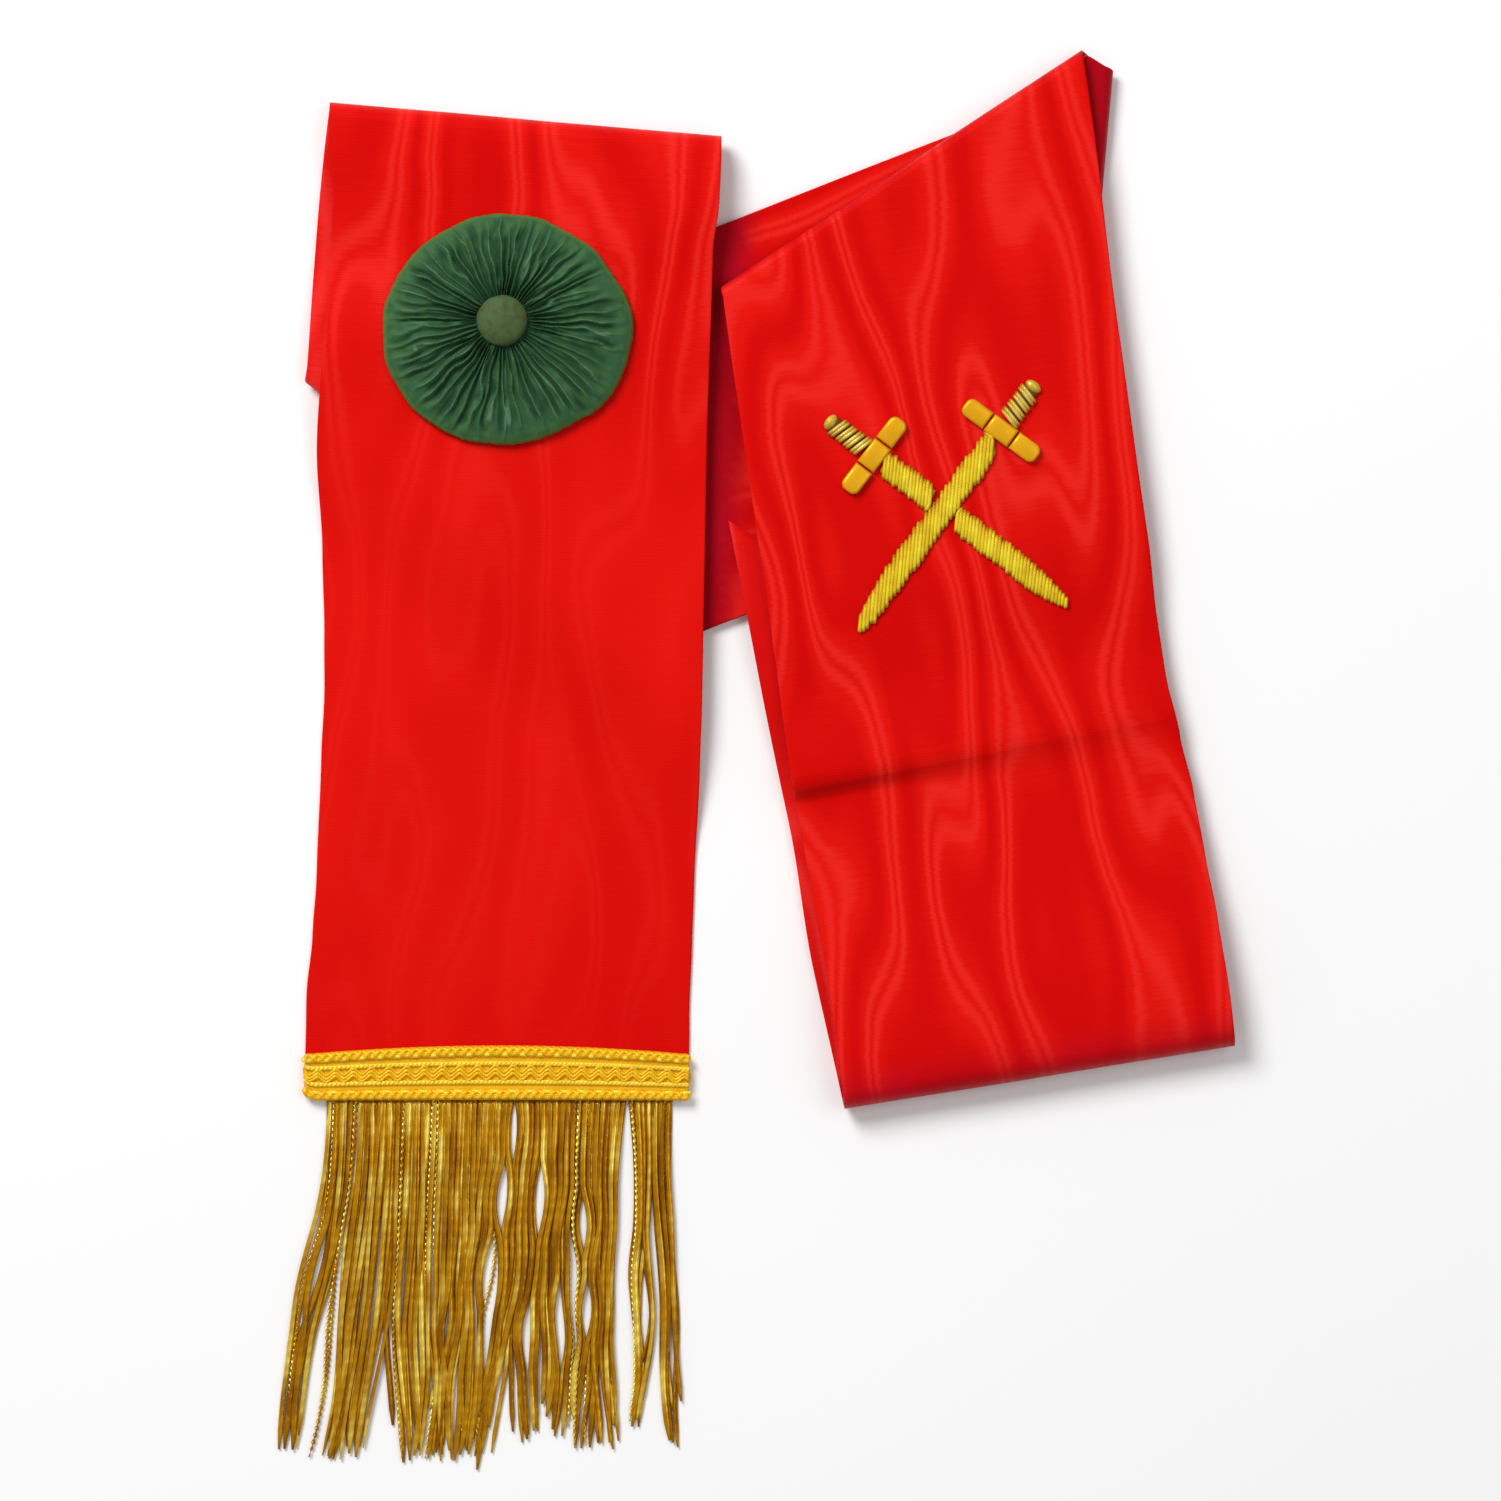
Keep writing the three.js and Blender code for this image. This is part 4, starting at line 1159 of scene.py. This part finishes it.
def layered(tree, colour, *layers):
    """Lays colours over the first one. Each layer is the share that it covers and its colour."""
    for share, top in layers:
        colour = add(tree, "ShaderNodeMix", {MIX_SHARE: share, MIX_UNDER: colour, MIX_OVER: top},
                     data_type="RGBA").outputs[MIXED]
    return colour


def ranged(tree, value, low, high, to_low=0.0, to_high=1.0):
    return add(tree, "ShaderNodeMapRange", {0: value, 1: low, 2: high, 3: to_low, 4: to_high},
               interpolation_type="SMOOTHSTEP").outputs[0]


def noise_at(tree, vector, scale, detail=2.0, roughness=0.5):
    return add(tree, "ShaderNodeTexNoise", {"Vector": vector, "Scale": scale, "Detail": detail,
                                            "Roughness": roughness}).outputs[0]


def stretched_noise(tree, vector, scale, detail):
    stretched = add(tree, "ShaderNodeMapping", {"Vector": vector, "Scale": scale}).outputs[0]
    return noise_at(tree, stretched, 1.0, detail)


def stored(tree, name):
    return add(tree, "ShaderNodeAttribute", attribute_name=name).outputs["Fac"]


def flat_place_of(tree):
    return add(tree, "ShaderNodeUVMap", uv_map=FLAT).outputs[0]


def axes_of(tree, vector):
    return add(tree, "ShaderNodeSeparateXYZ", {0: vector}).outputs


def new_material(name, **settings):
    """A material with a Principled BSDF. settings are the sockets that stay the same all over."""
    material = bpy.data.materials.new(name)
    material.use_nodes = True
    shader = material.node_tree.nodes["Principled BSDF"]
    for socket, value in settings.items():
        shader.inputs[socket.replace("_", " ")].default_value = value
    return material, material.node_tree, shader


def connect(tree, node, **outputs):
    for socket, output in outputs.items():
        tree.links.new(output, node.inputs[socket.replace("_", " ")])


def bump(tree, height, distance, strength=1.0):
    return add(tree, "ShaderNodeBump", {"Height": height, "Distance": distance,
                                        "Strength": strength}).outputs[0]


print("node helpers ready")

# %% [markdown]
# Watered silk is a ribbed ribbon that was doubled and pressed. Where the ribs of the two layers met, they
# were flattened, and the light draws wavy rings there: long ones, because the ribs run across and drift
# only slowly. Rings of equal height on a hilly map look just the same, so the pattern is made of contour
# lines of a noise that is stretched along the ribbon, and each contour is drawn as a pair of light lines.
# It sits in a group, because both strands use it.

# %% Group: watered silk
HILLS, SLOPES, SHIVER, RIB_BREAKS = (42, 12, 1), (12, 4, 1), (60, 1100, 1), (160, 900, 1)    # per metre
FIRST_LINE, SECOND_LINE, BETWEEN = 0.39, 0.61, 0.50      # in shares of the way from contour to contour


def new_group(name, inputs, outputs):
    group = bpy.data.node_groups.new(name, "ShaderNodeTree")
    for socket, kind, value in inputs:
        made = group.interface.new_socket(name=socket, in_out="INPUT", socket_type=kind)
        if value is not None:
            made.default_value = value
    for socket, kind in outputs:
        group.interface.new_socket(name=socket, in_out="OUTPUT", socket_type=kind)
    return group, group.nodes.new("NodeGroupInput"), group.nodes.new("NodeGroupOutput")


def watered_silk_group():
    group, given, result = new_group(
        "watered silk",
        [("Cloth", "NodeSocketVector", None), ("Rings", "NodeSocketFloat", 52.0),
         ("Wander", "NodeSocketFloat", 3.3), ("Rib", "NodeSocketFloat", 0.0006)],
        [("Line", "NodeSocketFloat"), ("Patch", "NodeSocketFloat"), ("Ribs", "NodeSocketFloat")])
    cloth = given.outputs["Cloth"]
    across, along, _ = axes_of(group, cloth)
    height = calc(group, "MULTIPLY_ADD", stretched_noise(group, cloth, HILLS, 0.4), given.outputs["Wander"],
                  times(group, across, given.outputs["Rings"]))
    height = calc(group, "ADD", stretched_noise(group, cloth, SLOPES, 0.0), height)
    height = calc(group, "MULTIPLY_ADD", stretched_noise(group, cloth, SHIVER, 1.0), 0.10, height)
    place = calc(group, "FRACT", height)
    near_first, near_second, apart = (calc(group, "ABSOLUTE", calc(group, "SUBTRACT", place, middle))
                                      for middle in (FIRST_LINE, SECOND_LINE, BETWEEN))
    closer = calc(group, "MINIMUM", near_first, near_second)
    ribs = calc(group, "SINE", times(group, calc(group, "DIVIDE", along, given.outputs["Rib"]), math.tau))
    connect(group, result, Line=ranged(group, closer, 0.0, 0.12, 1.0, 0.0),
            Patch=ranged(group, apart, 0.22, 0.45),
            Ribs=times(group, ribs, stretched_noise(group, cloth, RIB_BREAKS, 1.0)))
    return group


watered_silk = watered_silk_group()
print("group made:", watered_silk.name, [socket.name for socket in watered_silk.interface.items_tree])

# %% Scarlet silk
# CRIMSON and CRIMSON_PATCH are the colours of the painted shade.
CRIMSON = (0.36, 0.001, 0.008, 1)
CRIMSON_PATCH = (0.46, 0.003, 0.022, 1)
FIGURE_START, FIGURE_FULL = 0.14, 0.235     # metres from the cut end: the figure is faint below the rosette
FRINGE_SHADE = 0.055                        # metres from the cut end over which the silk is darker


def scarlet(name, dark, middle, light):
    material, tree, shader = new_material(name, Sheen_Weight=0.06, Sheen_Roughness=0.35,
                                          Sheen_Tint=(1.0, 0.05, 0.04, 1.0), Specular_IOR_Level=0.28,
                                          Specular_Tint=(1.0, 0.10, 0.08, 1.0))
    cloth = flat_place_of(tree)
    line, patch, ribs = add(tree, "ShaderNodeGroup", {"Cloth": cloth}, node_tree=watered_silk).outputs
    along = axes_of(tree, cloth)[1]
    strength = ranged(tree, along, FIGURE_START, FIGURE_FULL, 0.20, 0.9)
    mottled = stretched_noise(tree, cloth, (30, 12, 1), 3.0)
    # Painted shade: the crimson that the stored shade lays over the silk where another layer shades it.
    painted_shade_colour = layered(tree, CRIMSON, (ranged(tree, mottled, 0.45, 0.75), CRIMSON_PATCH))
    colour = layered(tree, middle,
                     (times(tree, ranged(tree, mottled, 0.35, 0.65), 0.5), dark),
                     (times(tree, patch, strength), dark),
                     (times(tree, line, strength), light),
                     (ranged(tree, along, 0.0, FRINGE_SHADE, 0.55, 0.0), dark),
                     (ranged(tree, ribs, -0.5, 0.5, 0.0, 0.10), dark),
                     (stored(tree, SHADE), painted_shade_colour))
    connect(tree, shader, Base_Color=colour, Roughness=ranged(tree, line, 0.0, 1.0, 0.52, 0.42),
            Normal=bump(tree, ribs, 0.04 * MM, 0.5))
    return material


scarlet_moire = scarlet("scarlet moire", (0.58, 0.001, 0.001, 1), (0.71, 0.006, 0.003, 1),
                        (0.77, 0.018, 0.013, 1))
scarlet_inner = scarlet("scarlet inner", (0.60, 0.003, 0.003, 1), (0.72, 0.010, 0.008, 1),
                        (0.78, 0.024, 0.020, 1))
front_ribbon.data.materials.append(scarlet_moire)
back_ribbon.data.materials.append(scarlet_inner)
print("silk on", front_ribbon.name, "and", back_ribbon.name)

# %% [markdown]
# The green ribbon is plain. What gives it life is the gathers: the silk is painted darker down between two
# pleats, as painted shade, because little light gets there, and the ridges of the pleats are painted lighter,
# as a painted highlight. The gathers are also darker towards the button, and the outermost edge of the rim is
# a lighter olive. The mesh kept the pleat and the reach as attributes when it was shaped, so the nodes only
# have to read them.

# %% Green silk
def mottled_green(tree):
    place = add(tree, "ShaderNodeTexCoord").outputs["Object"]
    return noise_at(tree, place, 420.0, detail=4.0, roughness=0.6), noise_at(tree, place, 2200.0, detail=2.0)


def green_gathers():
    material, tree, shader = new_material("green gathers", Sheen_Weight=0.06, Sheen_Roughness=0.4,
                                          Sheen_Tint=(0.4, 1.0, 0.5, 1.0), Specular_IOR_Level=0.20,
                                          Specular_Tint=(0.5, 1.0, 0.55, 1.0))
    pleat, reach = stored(tree, "pleat"), stored(tree, "reach")
    patches, grain = mottled_green(tree)
    colour = layered(tree, (0.026, 0.084, 0.038, 1),
                     (ranged(tree, patches, 0.35, 0.65), (0.042, 0.108, 0.034, 1)),
                     # Painted shade in the valleys between the pleats, and a painted highlight on their
                     # ridges.
                     (ranged(tree, pleat, 0.0, 0.45, 0.8, 0.0), (0.006, 0.026, 0.012, 1)),
                     (ranged(tree, pleat, 0.62, 0.90, 0.0, 0.9), (0.082, 0.172, 0.096, 1)),
                     (ranged(tree, reach, 0.55, 0.20, 0.0, 0.40), (0.008, 0.030, 0.014, 1)),
                     (ranged(tree, reach, 0.955, 0.995, 0.0, 0.7), (0.090, 0.180, 0.028, 1)))
    connect(tree, shader, Base_Color=colour, Roughness=ranged(tree, patches, 0.3, 0.7, 0.48, 0.62),
            Normal=bump(tree, grain, 0.05 * MM, 0.6))
    return material


def green_cover():
    material, tree, shader = new_material("green cover", Sheen_Weight=0.06, Specular_IOR_Level=0.20)
    patches, grain = mottled_green(tree)
    colour = layered(tree, (0.052, 0.072, 0.016, 1),
                     (ranged(tree, patches, 0.35, 0.65), (0.056, 0.108, 0.034, 1)))
    connect(tree, shader, Base_Color=colour, Roughness=ranged(tree, patches, 0.3, 0.7, 0.55, 0.68),
            Normal=bump(tree, grain, 0.05 * MM, 0.6))
    return material


rosette.data.materials.append(green_gathers())
button.data.materials.append(green_cover())
print("green silk on", rosette.name, "and", button.name)

# %% [markdown]
# Gold thread is a fine metal strip wound round a yellow core, so it is part metal and part silk. Up close
# each thread has slanting windings. They are a group with its own pitch, used on every gold piece with
# that piece's own colours.

# %% Group: wound thread
def wound_thread_group():
    group, given, result = new_group(
        "wound thread",
        [("Thread", "NodeSocketVector", None), ("Pitch", "NodeSocketFloat", 0.0006),
         ("Tarnish Size", "NodeSocketFloat", 300.0)],
        [("Winding", "NodeSocketFloat"), ("Tarnish", "NodeSocketFloat"), ("Glint", "NodeSocketFloat")])
    round_place, long_place, _ = axes_of(group, given.outputs["Thread"])
    slanted = calc(group, "DIVIDE", calc(group, "ADD", round_place, long_place), given.outputs["Pitch"])
    winding = calc(group, "MULTIPLY_ADD", calc(group, "SINE", times(group, slanted, math.tau)), 0.5, 0.5)
    place = add(group, "ShaderNodeTexCoord").outputs["Object"]
    tarnish = noise_at(group, place, given.outputs["Tarnish Size"], detail=3.0)
    glint = stretched_noise(group, place, (1400, 630, 1400), 1.0)
    connect(group, result, Winding=winding, Tarnish=ranged(group, tarnish, 0.35, 0.7),
            Glint=ranged(group, glint, 0.55, 0.75))
    return group


wound_thread = wound_thread_group()
print("group made:", wound_thread.name)

# %% Gold threads
def gold_thread(name, dark, middle, bright, metal, roughness, pitch, glints):
    material, tree, shader = new_material(name, Metallic=metal, Specular_IOR_Level=0.35,
                                          Specular_Tint=(1.0, 0.80, 0.40, 1.0))
    tone = stored(tree, TONE)
    winding, tarnish, glint = add(tree, "ShaderNodeGroup", {"Thread": flat_place_of(tree), "Pitch": pitch},
                                  node_tree=wound_thread).outputs
    # The glint layer lays painted highlights: bright specks along the threads.
    colour = layered(tree, dark,
                     (ranged(tree, tone, 0.0, 0.5), middle), (ranged(tree, tone, 0.5, 1.0), bright),
                     (times(tree, tarnish, 0.3), dark), (times(tree, glint, glints), bright),
                     (times(tree, winding, 0.2), dark))
    connect(tree, shader, Base_Color=colour, Normal=bump(tree, winding, 0.05 * MM, 0.6),
            Roughness=ranged(tree, glint, 0.0, 1.0, roughness, roughness * 0.7))
    return material


satin_gold = gold_thread("satin gold", (0.44, 0.17, 0.004, 1), (0.76, 0.56, 0.014, 1),
                         (0.88, 0.76, 0.040, 1), 0.10, 0.45, 0.0006, 0.3)
plate_gold = gold_thread("plate gold", (0.74, 0.36, 0.006, 1), (0.80, 0.43, 0.008, 1),
                         (0.86, 0.56, 0.030, 1), 0.30, 0.36, 0.0030, 0.3)
coil_gold = gold_thread("coil gold", (0.30, 0.14, 0.010, 1), (0.66, 0.44, 0.050, 1),
                        (0.84, 0.68, 0.160, 1), 0.30, 0.38, 0.0006, 0.4)
# core brown is the painted shade that shows between the grip's cords.
core_brown = gold_thread("core brown", (0.10, 0.045, 0.004, 1), (0.14, 0.065, 0.006, 1),
                         (0.16, 0.090, 0.015, 1), 0.05, 0.60, 0.0006, 0.2)
braid_gold = gold_thread("braid gold", (0.70, 0.32, 0.004, 1), (0.88, 0.49, 0.008, 1),
                         (0.96, 0.78, 0.070, 1), 0.20, 0.42, 0.0007, 0.3)
bullion_gold = gold_thread("bullion gold", (0.32, 0.110, 0.001, 1), (0.60, 0.285, 0.005, 1),
                           (1.00, 0.76, 0.120, 1), 0.60, 0.26, 0.0030, 0.15)
gold_pieces = {over_blade: satin_gold, under_blade: satin_gold, under_point: satin_gold,
               over_guard: plate_gold, under_guard: plate_gold, over_grip: coil_gold, under_grip: coil_gold,
               over_core: core_brown, under_core: core_brown, braid: braid_gold, fringe: bullion_gold}
for piece, finish in gold_pieces.items():
    piece.data.materials.append(finish)
print("gold on", len(gold_pieces), "pieces")

# %% [markdown]
# Now each piece is tied to the frame. It rides on the one body, and the solid that it stands for is hidden.
# The two grip cores only ride, as the cords over them already stand for the solids.

# %% Pieces tied to the frame
stands_for = {
    front_ribbon: ("front_band", "scarlet_moire"), back_ribbon: ("back_band", "scarlet_inner"),
    rosette: ("rosette_ruffle", "green_ribbon"), button: ("rosette_button", "green_button"),
    over_blade: ("over_sword_blade", "satin_gold"), over_guard: ("over_sword_guard", "plate_gold"),
    over_grip: ("over_sword_grip", "plate_gold"), under_blade: ("under_sword_blade", "satin_gold"),
    under_point: ("under_sword_point", "satin_gold"), under_guard: ("under_sword_guard", "plate_gold"),
    under_grip: ("under_sword_grip", "plate_gold"), braid: ("fringe_braid", "braid_gold"),
    fringe: ("fringe", "bullion_gold"),
}
for piece, (solid, finish) in stands_for.items():
    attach(piece, "root")
    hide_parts(solid)
for core in (over_core, under_core):
    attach(core, "root")
print("tied:", len(stands_for) + 2, "pieces")

# %% [markdown]
# The table is a plain pale plane, and it isn't part of the sash. A large soft lamp from the upper left
# shapes the folds, and a weak lamp from the right and an even sky fill the shadows.

# %% Table, light and sky
def make_table():
    bm = bmesh.new()
    bmesh.ops.create_grid(bm, x_segments=1, y_segments=1, size=2.0)
    table = finish_piece(bm, "table", closed=False)
    material, tree, shader = new_material("pale table", Specular_IOR_Level=0.1)
    place = add(tree, "ShaderNodeTexCoord").outputs["Object"]
    colour = layered(tree, (0.90, 0.90, 0.90, 1), (noise_at(tree, place, 3.0), (0.93, 0.93, 0.93, 1)))
    connect(tree, shader, Base_Color=colour,
            Roughness=ranged(tree, noise_at(tree, place, 9.0), 0, 1, 0.85, 0.95))
    table.data.materials.append(material)
    return table


def add_lamp(name, place, size, power):
    """A round lamp that points at the middle of the sash. size is in metres, power in watts."""
    lamp = bpy.data.lights.new(name, "AREA")
    lamp.shape = "DISK"
    lamp.size = size
    lamp.energy = power
    holder = new_object(name, lamp)
    holder.location = place
    holder.rotation_euler = (-Vector(place)).to_track_quat("-Z", "Y").to_euler()


table = make_table()
add_lamp("key", (-0.9, 1.2, 1.5), 1.0, 38.0)
add_lamp("fill", (1.0, 0.2, 1.9), 1.2, 6.0)
world = bpy.data.worlds.new("studio")
world.use_nodes = True
sky = world.node_tree.nodes["Background"]
sky.inputs["Color"].default_value = (1.0, 1.0, 1.0, 1.0)
sky.inputs["Strength"].default_value = 0.42
bpy.context.scene.world = world
bpy.context.scene.view_settings.view_transform = "Standard"

# %% [markdown]
# The sash was photographed from straight above, so the camera hangs over it with a long lens, which keeps the
# edges from leaning. The picture shows 386.8 mm of the table from side to side.

# %% Camera
VIEW_WIDTH = 386.8 * MM
VIEW_CENTRE = Vector((64.7, 89.7, 0.0)) * MM + SHIFT
CAMERA_HEIGHT = 2.4
camera_data = bpy.data.cameras.new("camera")
camera_data.sensor_width = 36.0
camera_data.lens = camera_data.sensor_width * CAMERA_HEIGHT / VIEW_WIDTH
camera_data.clip_end = 20.0
camera = new_object("camera", camera_data)
camera.location = VIEW_CENTRE + Vector((0, 0, CAMERA_HEIGHT))
bpy.context.scene.camera = camera
print(f"lens {camera_data.lens:.0f} mm")
